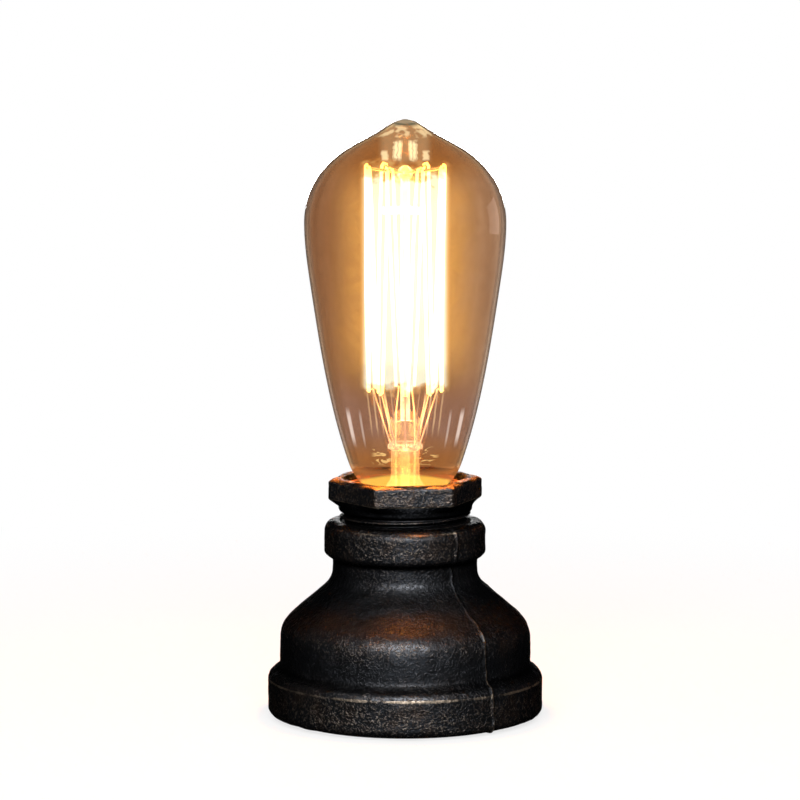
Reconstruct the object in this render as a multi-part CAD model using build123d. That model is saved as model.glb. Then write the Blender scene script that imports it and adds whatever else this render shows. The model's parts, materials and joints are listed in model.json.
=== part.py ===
from build123d import *
import math
import os

# Industrial pipe table lamp, in millimetres.
# A malleable-iron reducing socket stands on its wide end as the foot. A hexagon bushing is
# screwed into its narrow end and carries a porcelain E27 holder, and a pear-shaped filament
# bulb is screwed into that. A hollow threaded rod ties the holder to a plate in the foot.
# +Z is up, the origin is under the middle of the foot, on the surface that the lamp stands
# on, and the cord inlet is at the back, towards +Y.

# ---- Foot pad and base plate ---------------------------------------------------------------
pad_proud = 1.0  # how far the pad stands below the iron
pad_inset = 0.3  # the pad's edge, inside the plate's
plate_thickness = 1.5
plate_play = 0.3  # between the plate's edge and its recess
recess_depth = 2.3
rim_wall = 5.1  # iron around the recess, before its edge is rounded
dish_radius = 13.0  # flat middle of the plate, raised to house the lower nut
dish_slope = 2.5
dish_height = 6.2  # rise of the raised middle over the rest of the plate

# ---- Reducing socket -----------------------------------------------------------------------
collar_radius = 44.0
collar_round = 2.8
collar_height = 11.5  # up to the worn edge
shoulder_height = 3.9
shoulder_bulge = 0.8
body_radius = 40.0
body_wall = 3.889  # iron from the body's outside to the crests of the thread inside
body_foot_fillet = 0.8
body_height = 24.4  # top of the straight wall
body_corner = 10.0
cone_angle = 49.0  # between the cone and the axis
cone_wall = 4.5
neck_radius = 23.1
neck_fillet = 3.0
neck_height = 6.8
band_radius = 25.7
band_height = 11.9
band_round = 2.5
seam_width = 1.2  # the casting's parting line, at the collar
seam_height = 0.45
seam_root = 1.0  # how far the seam's own solid reaches into the wall
seam_angle = 51.0  # from the +X axis round towards the front

# ---- Pipe threads: 11 per inch --------------------------------------------------------------
pipe_pitch = 25.4 / 11
pipe_depth = 1.479
pipe_play = 0.1
large_thread_length = 15.0  # 2 1/2 inch, in the wide end
small_thread_radius = 20.955  # 1 1/4 inch, outermost
throat_radius = 19.3

# ---- Hexagon bushing -----------------------------------------------------------------------
bushing_reach = 18.0  # thread inside the socket
bushing_room = 1.3  # socket thread past the bushing's end
bushing_show = 3.3  # thread that stays in sight
bushing_collar_height = 1.4
bushing_collar_flare = 0.35
hex_flats = 43.0
hex_taper = 2.2
hex_height = 6.8
hex_chamfer = 1.1
hex_chamfer_reach = 2.2
hex_turn = 7.5  # degrees that the hexagon stopped past square
bushing_bore = 17.5  # radius
holder_seat_radius = 19.5
holder_seat_depth = 5.0

# ---- Lamp holder ---------------------------------------------------------------------------
holder_play = 0.3
holder_length = 32.8  # below its seat
holder_flange = 2.8
holder_bore = 14.2  # radius
holder_floor = 6.0
contact_recess_radius = 9.0
contact_recess_depth = 2.0
contact_slot_reach = 13.6
contact_slot_width = 7.0
contact_width = 6.0
contact_sheet = 0.5
contact_rise = 3.7  # contact's top over the floor of its recess
contact_tip_reach = 4.5
contact_flat = 2.5
contact_gap = 0.3  # between the contact and the seated bulb
shell_sheet = 0.4
shell_hole = 8.6
shell_top_depth = 6.3  # below the mouth of the porcelain
rivet_radius = 1.4
rivet_head_radius = 2.2
rivet_head = 0.8
rivet_play = 0.05
terminal_offset = 11.0
terminal_length = 7.0
terminal_width = 6.0
terminal_height = 5.5
wire_hole = 1.3  # radius
wire_hole_depth = 3.6
clamp_screw_radius = 1.5
clamp_screw_length = 4.0
clamp_screw_rise = 1.9  # above the terminal's underside

# ---- Strap, threaded rod and nuts ----------------------------------------------------------
strap_sheet = 1.5
strap_width = 12.0
strap_drop = 7.2  # from the feet's underside to the top of the web
strap_arm_reach = 10.5
strap_foot_reach = 16.0
strap_screw_offset = 13.3
strap_screw_radius = 1.5
strap_screw_length = 5.5
strap_screw_head_radius = 2.6
strap_screw_head = 1.8
rod_radius = 5.0
rod_bore = 3.5
rod_above_nut = 1.0
rod_below_nut = 1.4
nut_flats = 14.0
nut_height = 3.2
washer_radius = 7.5
washer_thickness = 0.8
close_play = 0.1  # radial play of holes around the rod and the screws

# ---- Terminal block and leads --------------------------------------------------------------
block_width = 30.0
block_depth = 12.0
block_height = 12.0
block_front = 18.0  # distance from the axis
pole_spacing = 10.0
tube_radius = 2.5
tube_bore = 1.4
tube_inset = 0.5
tube_rise = 8.3  # wire axis over the base plate
pole_screw_radius = 1.45
pole_screw_inset = 2.6
pole_screw_sunk = 0.6
block_screw_radius = 1.4
block_screw_head_radius = 2.3
block_screw_head = 1.6
lead_radius = 1.1
core_radius = 0.65
core_length = 3.7
lead_end_gap = 0.4
lug_barrel_radius = 1.9
lug_barrel_start = 8.9
lug_barrel_length = 4.2
lug_ring_radius = 7.4
lug_ring_thickness = 1.0

# ---- Cord inlet ----------------------------------------------------------------------------
inlet_height = 21.0  # above the iron's underside
inlet_hole = 4.1  # radius
grommet_play = 0.05
grommet_bore = 3.1
grommet_flange_radius = 5.2
grommet_flange = 1.2

# ---- E27 screw: rounded thread -------------------------------------------------------------
screw_pitch = 3.629
screw_wave = 0.55  # half the thread's depth
cap_mean_radius = 12.575
screw_play = 0.25  # between the cap and the holder's shell
cap_sheet = 0.3
cap_thread_start = 5.0  # heights from here on are above the bulb's lowest point
cap_thread_end = 20.0
cap_rim_height = 26.0
cap_skirt_radius = 13.1
cap_lip = 0.25
cap_end_radius = 10.2
cap_end_drop = 1.2
shell_thread_start = 8.0
shell_thread_end = 19.5
screw_run_out = 2.5

# ---- Bulb ----------------------------------------------------------------------------------
bulb_length = 144.0
bulb_radius = 32.0
bulb_widest = 111.2
glass_wall = 0.9
pip_radius = 8.0
pip_drop = 3.6
crown_radius = 19.5
crown_drop = 10.2
upper_radius = 28.6
upper_drop = 19.8
taper_radius = 30.0
taper_height = 91.0
heel_radius = 18.5
heel_height = 36.0
throat_glass_radius = 15.5
throat_glass_height = 29.8
bulb_neck_radius = 12.2
bulb_neck_top = 24.6
bulb_neck_end = 20.6
cement_play = 0.05
cement_start = 20.9
cement_end = 25.6
insulator_depth = 1.6
insulator_hole = 1.0
eyelet_radius = 4.5
eyelet_height = 0.7
eyelet_play = 0.05

stem_radius = 4.5
stem_wall = 0.8
flare_top = 31.0
flare_play = 0.05
press_bottom = 41.1
press_height = 7.1
press_width = 9.6
press_depth = 4.4
collar_bead_radius = 5.6
collar_bead_height = 2.4
centre_rod_radius = 1.5
bead_radius = 2.4
bead_height = 127.0
exhaust_radius = 1.5
exhaust_bore = 0.9
exhaust_start = 12.0
exhaust_end = 38.0

hook_count = 8  # upper hooks; there is one less below
cage_top_radius = 12.8
cage_bottom_radius = 11.6
cage_top = 129.3
cage_bottom = 57.6
filament_radius = 0.22
hook_radius = 0.25
hook_gap = 0.1
hook_tail = 0.8
hook_knee = 1.3  # how far inside the cage the lower hooks turn outwards
lead_in_radius = 0.3
lead_in_spread = 3.0
lead_in_side_height = 15.0
wire_play = 0.02
bend_swell = 1.02

# ---- Worked out from the sizes above -------------------------------------------------------
iron_bottom = pad_proud
recess_radius = collar_radius - rim_wall
plate_bottom = iron_bottom + recess_depth - plate_thickness
plate_top = plate_bottom + plate_thickness
dish_top = plate_top + dish_height
dish_underside = dish_top - plate_thickness

cavity_radius = body_radius - body_wall
large_thread_mean = cavity_radius + pipe_depth / 2
small_thread_mean = small_thread_radius - pipe_depth / 2

shoulder_top = iron_bottom + collar_height + shoulder_height
body_top = iron_bottom + body_height
slope = math.tan(math.radians(cone_angle))
lean = math.radians(cone_angle)
cone_start_radius = body_radius - body_corner * (1 - math.cos(lean))
cone_start = body_top + body_corner * math.sin(lean)
neck_bottom = cone_start + (cone_start_radius - neck_radius) / slope
band_bottom = neck_bottom + neck_height
socket_top = band_bottom + band_height
cone_wall_across = cone_wall / math.cos(lean)

thread_end = socket_top + bushing_show
bushing_bottom = socket_top - bushing_reach
hex_taper_bottom = thread_end + bushing_collar_height
hex_bottom = hex_taper_bottom + hex_taper
hex_top = hex_bottom + hex_height
small_thread_bottom = bushing_bottom - bushing_room

seat = hex_top - holder_seat_depth
holder_top = seat + holder_flange
holder_bottom = seat - holder_length
holder_radius = bushing_bore - holder_play
ledge = holder_bottom + holder_floor
recess_floor = ledge - contact_recess_depth
bulb_bottom = recess_floor + contact_rise + contact_gap
shell_mean_radius = cap_mean_radius + screw_play

strap_foot_bottom = holder_bottom - strap_sheet
web_top = strap_foot_bottom - strap_drop + strap_sheet
web_bottom = web_top - strap_sheet
upper_nut_bottom = web_top + washer_thickness
rod_top = upper_nut_bottom + nut_height + rod_above_nut
lower_nut_bottom = dish_underside - washer_thickness - nut_height
rod_bottom = lower_nut_bottom - rod_below_nut
wire_height = plate_top + tube_rise
inlet = iron_bottom + inlet_height

UPRIGHT = (Align.CENTER, Align.CENTER, Align.MIN)


# ---- Helpers -------------------------------------------------------------------------------
def at(radius, height):
    """A point of an outline, in the plane that is turned about Z."""
    return Vector(radius, 0, height)


def lines(*points):
    """Straight edges through the points."""
    return [Edge.make_line(at(*a), at(*b)) for a, b in zip(points, points[1:])]


def skins(edges):
    """The surfaces that edges sweep when they are turned about Z."""
    return [Face.revolve(edge, 360, Axis.Z) for edge in edges]


def turned(*points):
    """A solid from a closed outline of straight edges, turned about Z."""
    return revolve(make_face(Wire(lines(*points, points[0]))), Axis.Z)


def post(radius, bottom, top, x=0.0, y=0.0):
    """An upright cylinder."""
    return Pos(x, y, bottom) * Cylinder(radius, top - bottom, align=UPRIGHT)


def block(x_size, y_size, bottom, top, x=0.0, y=0.0):
    """An upright block, centred on x and y."""
    return Pos(x, y, bottom) * Box(x_size, y_size, top - bottom, align=UPRIGHT)


def bar(start, end, radius):
    """A round bar between two points."""
    start, end = Vector(*start), Vector(*end)
    return Solid.make_cylinder(radius, (end - start).length, Plane(origin=start, z_dir=end - start))


def nut(bottom):
    """A thin hexagon nut on the threaded rod."""
    hexagon = RegularPolygon(nut_flats / 2, 6, major_radius=False)
    blank = Pos(0, 0, bottom) * extrude(hexagon, nut_height)
    return blank - post(rod_radius + close_play, bottom - 1, bottom + nut_height + 1)


def polar(radius, angle, height):
    """A point at a radius and an angle in degrees."""
    return (
        radius * math.cos(math.radians(angle)),
        radius * math.sin(math.radians(angle)),
        height,
    )


def screw_skin(mean, wave, pitch, bottom, top, run_out, ends=(-1, -1), per_turn=6):
    """The surface of a right-hand screw with a rounded thread, about Z.

    A level cut through such a screw is a circle set off the axis by the wave, and the offset
    turns once per pitch. At each end the thread runs out, to the smallest radius where ends
    has -1 and to the largest where it has 1.
    """
    steps = math.ceil((top - bottom) / pitch * per_turn)
    rings = []
    for step in range(steps + 1):
        height = bottom + (top - bottom) * step / steps
        start_fade = min(1.0, (height - bottom) / run_out)
        end_fade = min(1.0, (top - height) / run_out)
        offset = wave * start_fade * end_fade
        radius = mean + wave * (ends[0] * (1 - start_fade) + ends[1] * (1 - end_fade))
        turn = 360 * height / pitch
        rings.append(Wire.make_circle(radius, Plane(polar(offset, turn, height))))
    return Shell.make_loft(rings).faces()


def solid_of(*groups):
    """A solid from groups of faces that close it."""
    return Solid(Shell([face for group in groups for face in group]))


# ---- Reducing socket -----------------------------------------------------------------------
def socket_outline(proud=0.0):
    """The socket's outside, from under the rim to the mouth, grown sideways by proud."""
    collar = collar_radius + proud
    body = body_radius + proud
    neck = neck_radius + proud
    band = band_radius + proud
    corner_centre = body - body_corner
    half_turn = lean / 2
    fillet_run = neck_fillet * math.tan(half_turn)
    cone_top = at(
        neck + fillet_run * math.sin(lean),
        neck_bottom - fillet_run * math.cos(lean),
    )
    cone_foot = at(cone_start_radius + proud, cone_start)
    shoulder_middle = at(
        (collar + body + body_foot_fillet) / 2 + shoulder_bulge,
        iron_bottom + collar_height + shoulder_height / 2 + shoulder_bulge / 2,
    )
    bevel = 1 - math.sqrt(0.5)
    return [
        Edge.make_line(at(recess_radius, iron_bottom), at(collar - collar_round, iron_bottom)),
        Edge.make_three_point_arc(
            at(collar - collar_round, iron_bottom),
            at(collar - collar_round * bevel, iron_bottom + collar_round * bevel),
            at(collar, iron_bottom + collar_round),
        ),
        Edge.make_line(
            at(collar, iron_bottom + collar_round), at(collar, iron_bottom + collar_height)
        ),
        Edge.make_three_point_arc(
            at(collar, iron_bottom + collar_height),
            shoulder_middle,
            at(body + body_foot_fillet, shoulder_top),
        ),
        Edge.make_three_point_arc(
            at(body + body_foot_fillet, shoulder_top),
            at(body + body_foot_fillet * bevel, shoulder_top + body_foot_fillet * bevel),
            at(body, shoulder_top + body_foot_fillet),
        ),
        Edge.make_line(at(body, shoulder_top + body_foot_fillet), at(body, body_top)),
        Edge.make_three_point_arc(
            at(body, body_top),
            at(
                corner_centre + body_corner * math.cos(half_turn),
                body_top + body_corner * math.sin(half_turn),
            ),
            cone_foot,
        ),
        Edge.make_line(cone_foot, cone_top),
        Edge.make_three_point_arc(
            cone_top,
            at(
                neck + neck_fillet * (1 - math.cos(half_turn)),
                neck_bottom + fillet_run - neck_fillet * math.sin(half_turn),
            ),
            at(neck, neck_bottom + fillet_run),
        ),
        Edge.make_line(at(neck, neck_bottom + fillet_run), at(neck, band_bottom)),
        Edge.make_three_point_arc(
            at(neck, band_bottom),
            at(
                neck + (band - neck) * math.sqrt(0.5),
                band_bottom + (band - neck) * bevel,
            ),
            at(band, band_bottom + band - neck),
        ),
        Edge.make_line(at(band, band_bottom + band - neck), at(band, socket_top - band_round)),
        Edge.make_three_point_arc(
            at(band, socket_top - band_round),
            at(band - band_round * bevel, socket_top - band_round * bevel),
            at(band - band_round, socket_top),
        ),
    ]


def parting_seam(angle):
    """One of the two raised lines that the mould halves leave on the outside."""
    outer = socket_outline(seam_height)[2:12]
    inner = socket_outline(-seam_root)[2:12]
    low_end = Edge.make_line(outer[0] @ 0, inner[0] @ 0)
    high_end = Edge.make_line(outer[-1] @ 1, inner[-1] @ 1)
    spread = math.degrees(seam_width / collar_radius)
    outline = Wire([*outer, high_end, *inner, low_end])
    section = Rot(0, 0, angle - spread / 2) * make_face(outline)
    return revolve(section, Axis.Z, spread)


def reducing_socket():
    """The cast foot: collar, bell, neck and upper band, threaded at both ends."""
    small_mouth = small_thread_radius + pipe_play
    large_thread_bottom = iron_bottom + recess_depth
    large_thread_top = large_thread_bottom + large_thread_length
    inner_cone_radius = cone_start_radius - cone_wall_across
    inner_cone_bottom = cone_start - (cavity_radius - inner_cone_radius) / slope
    throat_bottom = cone_start + (inner_cone_radius - throat_radius) / slope
    outside = skins(socket_outline())
    mouth = skins(lines((band_radius - band_round, socket_top), (small_mouth, socket_top)))
    small_thread = screw_skin(
        small_thread_mean + pipe_play,
        pipe_depth / 2,
        pipe_pitch,
        small_thread_bottom,
        socket_top,
        pipe_pitch,
        ends=(1, 1),
    )
    inside = skins(
        lines(
            (small_mouth, small_thread_bottom),
            (throat_radius, small_thread_bottom),
            (throat_radius, throat_bottom),
            (cavity_radius, inner_cone_bottom),
            (cavity_radius, large_thread_top),
        )
    )
    large_thread = screw_skin(
        large_thread_mean,
        pipe_depth / 2,
        pipe_pitch,
        large_thread_bottom,
        large_thread_top,
        pipe_pitch,
    )
    recess = skins(
        lines(
            (cavity_radius, large_thread_bottom),
            (recess_radius, large_thread_bottom),
            (recess_radius, iron_bottom),
        )
    )
    casting = solid_of(outside, mouth, small_thread, inside, large_thread, recess)
    for angle in (-seam_angle, 180 - seam_angle):
        casting = casting + parting_seam(angle)
    drill = Pos(0, collar_radius, inlet) * Rot(90, 0, 0) * Cylinder(inlet_hole, collar_radius)
    return casting - drill


def cord_grommet():
    """Rubber ring that lines the cord's hole in the back of the socket."""

    def plug(radius, near, far):
        return Pos(0, (near + far) / 2, inlet) * Rot(90, 0, 0) * Cylinder(radius, far - near)

    wall_low, wall_high = inlet - 2 * grommet_flange_radius, inlet + 2 * grommet_flange_radius
    wall_inside = post(cavity_radius - grommet_play, wall_low, wall_high)
    wall_outside = post(body_radius + grommet_play, wall_low, wall_high)
    inner_end = cavity_radius - grommet_flange
    outer_end = body_radius + grommet_flange
    neck = plug(inlet_hole - grommet_play, inner_end, outer_end)
    inner_flange = plug(grommet_flange_radius, inner_end, cavity_radius) & wall_inside
    outer_flange = plug(grommet_flange_radius, body_radius - 1, outer_end) - wall_outside
    return neck + inner_flange + outer_flange - plug(grommet_bore, inner_end - 1, outer_end + 1)


# ---- Foot ----------------------------------------------------------------------------------
def foot_pad():
    """Felt disc under the plate, which the lamp stands on."""
    return post(recess_radius - plate_play - pad_inset, 0, plate_bottom)


def base_plate():
    """Pressed steel plate in the rim's recess, dished up in the middle over the lower nut."""
    edge = recess_radius - plate_play
    hole = rod_radius + close_play
    foot = dish_radius + dish_slope
    plate = turned(
        (hole, dish_underside),
        (dish_radius - plate_thickness / 2, dish_underside),
        (foot - plate_thickness / 2, plate_bottom),
        (edge, plate_bottom),
        (edge, plate_top),
        (foot, plate_top),
        (dish_radius, dish_top),
        (hole, dish_top),
    )
    for side in (-1, 1):
        x = side * pole_spacing / 2
        hole_radius = block_screw_radius + close_play
        plate = plate - post(hole_radius, plate_bottom - 1, plate_top + 1, x, block_middle())
    return plate


# ---- Hexagon bushing -----------------------------------------------------------------------
def hex_bushing():
    """The bushing: hexagon, run-out collar and outside thread, bored for the holder."""
    thread_mean = small_thread_mean - pipe_play
    thread_minor = thread_mean - pipe_depth / 2
    thread_major = thread_mean + pipe_depth / 2
    taper_radius_low = thread_major + bushing_collar_flare
    thread = screw_skin(
        thread_mean,
        pipe_depth / 2,
        pipe_pitch,
        bushing_bottom,
        thread_end,
        pipe_pitch,
        ends=(-1, 1),
    )
    shank = solid_of(
        thread,
        skins(
            lines(
                (thread_major, thread_end),
                (taper_radius_low, hex_taper_bottom),
                (bushing_bore, hex_taper_bottom),
                (bushing_bore, bushing_bottom),
                (thread_minor, bushing_bottom),
            )
        ),
    )
    hexagon = Rot(0, 0, hex_turn) * RegularPolygon(hex_flats / 2, 6, major_radius=False)
    taper = Solid.make_loft(
        [
            Wire.make_circle(taper_radius_low, Plane((0, 0, hex_taper_bottom))),
            (Pos(0, 0, hex_bottom) * hexagon).face().outer_wire(),
        ],
        ruled=True,
    )
    corner = hex_flats / math.sqrt(3)
    head = extrude(Pos(0, 0, hex_bottom) * hexagon, hex_height) & turned(
        (0, hex_bottom),
        (corner, hex_bottom),
        (corner, hex_top - hex_chamfer),
        (corner - hex_chamfer_reach, hex_top),
        (0, hex_top),
    )
    head = taper + head - post(bushing_bore, bushing_bottom, hex_top + 1)
    return shank + head - post(holder_seat_radius, seat, hex_top + 1)


# ---- Lamp holder ---------------------------------------------------------------------------
def holder_porcelain():
    """Porcelain body of the lamp holder, hung by its flange in the bushing."""
    flange_radius = holder_seat_radius - holder_play
    body = turned(
        (0, holder_bottom),
        (holder_radius, holder_bottom),
        (holder_radius, seat),
        (flange_radius, seat),
        (flange_radius, holder_top - 0.6),
        (flange_radius - 0.6, holder_top),
        (holder_bore, holder_top),
        (holder_bore, ledge),
        (contact_recess_radius, ledge),
        (contact_recess_radius, recess_floor),
        (0, recess_floor),
    )
    body = body - block(
        contact_slot_width,
        contact_slot_reach,
        recess_floor,
        ledge + 1,
        y=-contact_slot_reach / 2,
    )
    for side in (-1, 1):
        body = body - post(
            rivet_radius + rivet_play, holder_bottom - 1, ledge + 1, y=side * terminal_offset
        )
        body = body - post(
            strap_screw_radius + rivet_play,
            holder_bottom - 1,
            holder_bottom + strap_screw_length - strap_sheet + 0.3,
            x=side * strap_screw_offset,
        )
    return body


def holder_screw_shell():
    """Threaded brass sleeve of the holder, with a floor that a rivet holds."""
    outer_mean = shell_mean_radius + shell_sheet
    outer = outer_mean + screw_wave
    inner = shell_mean_radius + screw_wave
    start = bulb_bottom + shell_thread_start
    end = bulb_bottom + shell_thread_end
    top = holder_top - shell_top_depth
    shape = (screw_wave, screw_pitch, start, end, screw_run_out, (1, 1))
    sleeve = solid_of(
        screw_skin(outer_mean, *shape),
        screw_skin(shell_mean_radius, *shape),
        skins(lines((outer, end), (outer, top), (inner, top), (inner, end))),
        skins(
            lines(
                (outer, start),
                (outer, ledge),
                (shell_hole, ledge),
                (shell_hole, ledge + shell_sheet),
                (inner, ledge + shell_sheet),
                (inner, start),
            )
        ),
    )
    hole = post(rivet_radius + rivet_play, ledge - 1, ledge + 1, y=terminal_offset)
    return sleeve - hole


def holder_centre_contact():
    """Springy strip under the bulb's centre contact."""
    top = recess_floor + contact_rise
    run = Polyline(
        (-contact_slot_reach + 0.2, recess_floor),
        (-contact_recess_radius + 1, recess_floor),
        (-contact_flat, top - contact_sheet),
        (contact_flat, top - contact_sheet),
        (contact_tip_reach, top - 3 * contact_sheet),
        (contact_tip_reach, top - 2 * contact_sheet),
        (contact_flat, top),
        (-contact_flat, top),
        (-contact_recess_radius + 1, recess_floor + contact_sheet),
        (-contact_slot_reach + 0.2, recess_floor + contact_sheet),
        close=True,
    )
    strip = extrude(Plane.YZ * make_face(run), contact_width / 2, both=True)
    hole_radius = rivet_radius + rivet_play
    return strip - post(hole_radius, recess_floor - 1, recess_floor + 1, y=-terminal_offset)


def contact_rivets():
    """The two rivets that join the contacts to the terminals, through the porcelain."""
    pair = []
    for side, seat_height in ((-1, recess_floor + contact_sheet), (1, ledge + shell_sheet)):
        shank = post(rivet_radius, holder_bottom - 1.4, seat_height, y=side * terminal_offset)
        head = post(
            rivet_head_radius, seat_height, seat_height + rivet_head, y=side * terminal_offset
        )
        pair.append(shank + head)
    return pair


def holder_terminals():
    """Brass terminals under the holder, each with a wire hole and a clamping screw's hole."""
    bottom = holder_bottom - terminal_height
    pair = []
    for side in (-1, 1):
        y = side * terminal_offset
        body = block(terminal_length, terminal_width, bottom, holder_bottom, y=y)
        body = body - post(rivet_radius + rivet_play, holder_bottom - 1.5, holder_bottom + 1, y=y)
        body = body - post(wire_hole, bottom - 1, bottom + wire_hole_depth, y=y)
        screw_hole = Cylinder(clamp_screw_radius + rivet_play, terminal_width)
        place = Pos(0, side * (terminal_offset + terminal_width / 2), bottom + clamp_screw_rise)
        pair.append(body - place * Rot(90, 0, 0) * screw_hole)
    return pair


def terminal_screws():
    """Clamping screws of the holder's terminals."""
    bottom = holder_bottom - terminal_height
    pair = []
    for side in (-1, 1):
        tip = terminal_offset + core_radius + rivet_play
        middle = tip + clamp_screw_length / 2
        screw = Rot(90, 0, 0) * Cylinder(clamp_screw_radius, clamp_screw_length)
        slot_middle = tip + clamp_screw_length
        slot = Box(2 * clamp_screw_radius + 1, 1.0, 0.6)
        height = bottom + clamp_screw_rise
        pair.append(Pos(0, side * middle, height) * screw - Pos(0, side * slot_middle, height) * slot)
    return pair


# ---- Strap, threaded rod and nuts ----------------------------------------------------------
def mounting_strap():
    """Bent steel strap that hangs under the holder and takes the threaded rod."""
    arm = strap_arm_reach
    foot = strap_foot_reach
    sheet = strap_sheet
    run = Polyline(
        (-foot, holder_bottom),
        (-arm + sheet, holder_bottom),
        (-arm + sheet, web_top),
        (arm - sheet, web_top),
        (arm - sheet, holder_bottom),
        (foot, holder_bottom),
        (foot, strap_foot_bottom),
        (arm, strap_foot_bottom),
        (arm, web_bottom),
        (-arm, web_bottom),
        (-arm, strap_foot_bottom),
        (-foot, strap_foot_bottom),
        close=True,
    )
    strap = extrude(Plane.XZ * make_face(run), strap_width / 2, both=True)
    strap = strap - post(rod_radius + close_play, web_bottom - 1, web_top + 1)
    for side in (-1, 1):
        strap = strap - post(
            strap_screw_radius + close_play,
            strap_foot_bottom - 1,
            holder_bottom + 1,
            x=side * strap_screw_offset,
        )
    return strap


def strap_screws():
    """The two screws that hold the strap to the porcelain."""
    pair = []
    for side in (-1, 1):
        x = side * strap_screw_offset
        head_bottom = strap_foot_bottom - strap_screw_head
        head = post(strap_screw_head_radius, head_bottom, strap_foot_bottom, x=x)
        shank = post(
            strap_screw_radius, head_bottom, strap_foot_bottom + strap_screw_length, x=x
        )
        slot = block(2 * strap_screw_head_radius + 1, 0.8, head_bottom - 1, head_bottom + 0.8, x=x)
        pair.append(head + shank - slot)
    return pair


def threaded_rod():
    """Hollow rod that ties the strap to the base plate. Its fine thread is drawn plain."""
    return post(rod_radius, rod_bottom, rod_top) - post(rod_bore, rod_bottom - 1, rod_top + 1)


def rod_nuts():
    """Four nuts: two clamp the strap and two clamp the base plate and the earth lug."""
    return [
        nut(upper_nut_bottom),
        nut(web_bottom - nut_height),
        nut(dish_top + lug_ring_thickness),
        nut(lower_nut_bottom),
    ]


def lock_washers():
    """Toothed washers under the strap's upper nut and the plate's lower nut."""
    pair = []
    for bottom in (web_top, dish_underside - washer_thickness):
        top = bottom + washer_thickness
        ring = post(washer_radius, bottom, top) - post(rod_radius + close_play, bottom - 1, top + 1)
        for tooth in range(12):
            x, y, _ = polar(washer_radius + 0.3, tooth * 30, 0)
            ring = ring - post(0.9, bottom - 1, top + 1, x, y)
        pair.append(ring)
    return pair


# ---- Terminal block and leads --------------------------------------------------------------
def block_middle():
    """Distance of the terminal block's middle from the axis."""
    return block_front + block_depth / 2


def pole_positions():
    """Sideways places of the three poles."""
    return [-pole_spacing, 0, pole_spacing]


def pole_screw_positions():
    """Distances from the axis of the two screws of a pole."""
    return [block_front + pole_screw_inset, block_front + block_depth - pole_screw_inset]


def along_pole(radius, x, near, far):
    """A cylinder along a pole's wire axis, between two distances from the lamp's axis."""
    return Pos(x, (near + far) / 2, wire_height) * Rot(90, 0, 0) * Cylinder(radius, far - near)


def terminal_block():
    """Porcelain body of the three-pole terminal block on the base plate."""
    top = plate_top + block_height
    far = block_front + block_depth
    body = block(block_width, block_depth, plate_top, top, y=block_middle())
    for x in pole_positions():
        body = body - along_pole(tube_radius + close_play, x, block_front - 1, far + 1)
        for y in pole_screw_positions():
            body = body - post(pole_screw_radius + 0.5, wire_height, top + 1, x, y)
    for side in (-1, 1):
        x = side * pole_spacing / 2
        head_seat = top - block_screw_head - 0.4
        body = body - post(block_screw_radius + close_play, plate_top - 1, top + 1, x, block_middle())
        body = body - post(
            block_screw_head_radius + close_play, head_seat, top + 1, x, block_middle()
        )
    return body


def block_tubes():
    """Brass tubes of the three poles."""
    near = block_front + tube_inset
    far = block_front + block_depth - tube_inset
    tubes = []
    for x in pole_positions():
        tube = along_pole(tube_radius, x, near, far) - along_pole(tube_bore, x, near - 1, far + 1)
        for y in pole_screw_positions():
            tube = tube - post(
                pole_screw_radius + rivet_play, wire_height, wire_height + 2 * tube_radius, x, y
            )
        tubes.append(tube)
    return tubes


def block_pole_screws():
    """Clamping screws of the three poles, two to each."""
    top = plate_top + block_height - pole_screw_sunk
    screws = []
    for x in pole_positions():
        for y in pole_screw_positions():
            tip = wire_height + core_radius + rivet_play
            slot = block(2 * pole_screw_radius + 1, 0.6, top - 0.7, top + 1, x, y)
            screws.append(post(pole_screw_radius, tip, top, x, y) - slot)
    return screws


def block_fixing_screws():
    """The two screws that hold the terminal block to the base plate."""
    head_seat = plate_top + block_height - block_screw_head - 0.4
    screws = []
    for side in (-1, 1):
        x = side * pole_spacing / 2
        shank = post(block_screw_radius, plate_bottom, head_seat, x, block_middle())
        head = post(
            block_screw_head_radius, head_seat, head_seat + block_screw_head, x, block_middle()
        )
        slot = block(
            2 * block_screw_head_radius + 1,
            0.7,
            head_seat + block_screw_head - 0.7,
            head_seat + block_screw_head + 1,
            x,
            block_middle(),
        )
        screws.append(shank + head - slot)
    return screws


def earth_lug():
    """Ring tongue on the threaded rod, with the barrel that grips the earth lead."""
    ring_top = dish_top + lug_ring_thickness
    barrel_end = lug_barrel_start + lug_barrel_length
    ring = post(lug_ring_radius, dish_top, ring_top)
    tongue = block(
        2 * lug_barrel_radius, barrel_end, dish_top, ring_top, y=barrel_end / 2
    )
    barrel = along_pole(lug_barrel_radius, 0, lug_barrel_start, barrel_end)
    lug = ring + tongue + barrel - post(rod_radius + close_play, dish_top - 1, ring_top + 1)
    return lug - along_pole(core_radius + rivet_play, 0, lug_barrel_start - 1, barrel_end + 1)


def lead(*points):
    """An insulated lead through the points, with a bare core at each end."""
    points = [Vector(*point) for point in points]
    radii = []
    for before, corner, after in zip(points, points[1:], points[2:]):
        shorter = min((corner - before).length, (after - corner).length)
        turn = math.radians((corner - before).get_angle(after - corner))
        radii.append(0.45 * shorter / math.tan(turn / 2))
    path = FilletPolyline(*points, radius=radii) if radii else Line(*points)
    print("lead bends", [round(radius, 1) for radius in radii])
    cover = sweep(Plane(origin=path @ 0, z_dir=path % 0) * Circle(lead_radius), path=path)
    for end, inner in ((points[0], points[1]), (points[-1], points[-2])):
        outward = (end - inner).normalized()
        cover = cover + bar(end - outward, end + outward * core_length, core_radius)
    return cover


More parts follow.
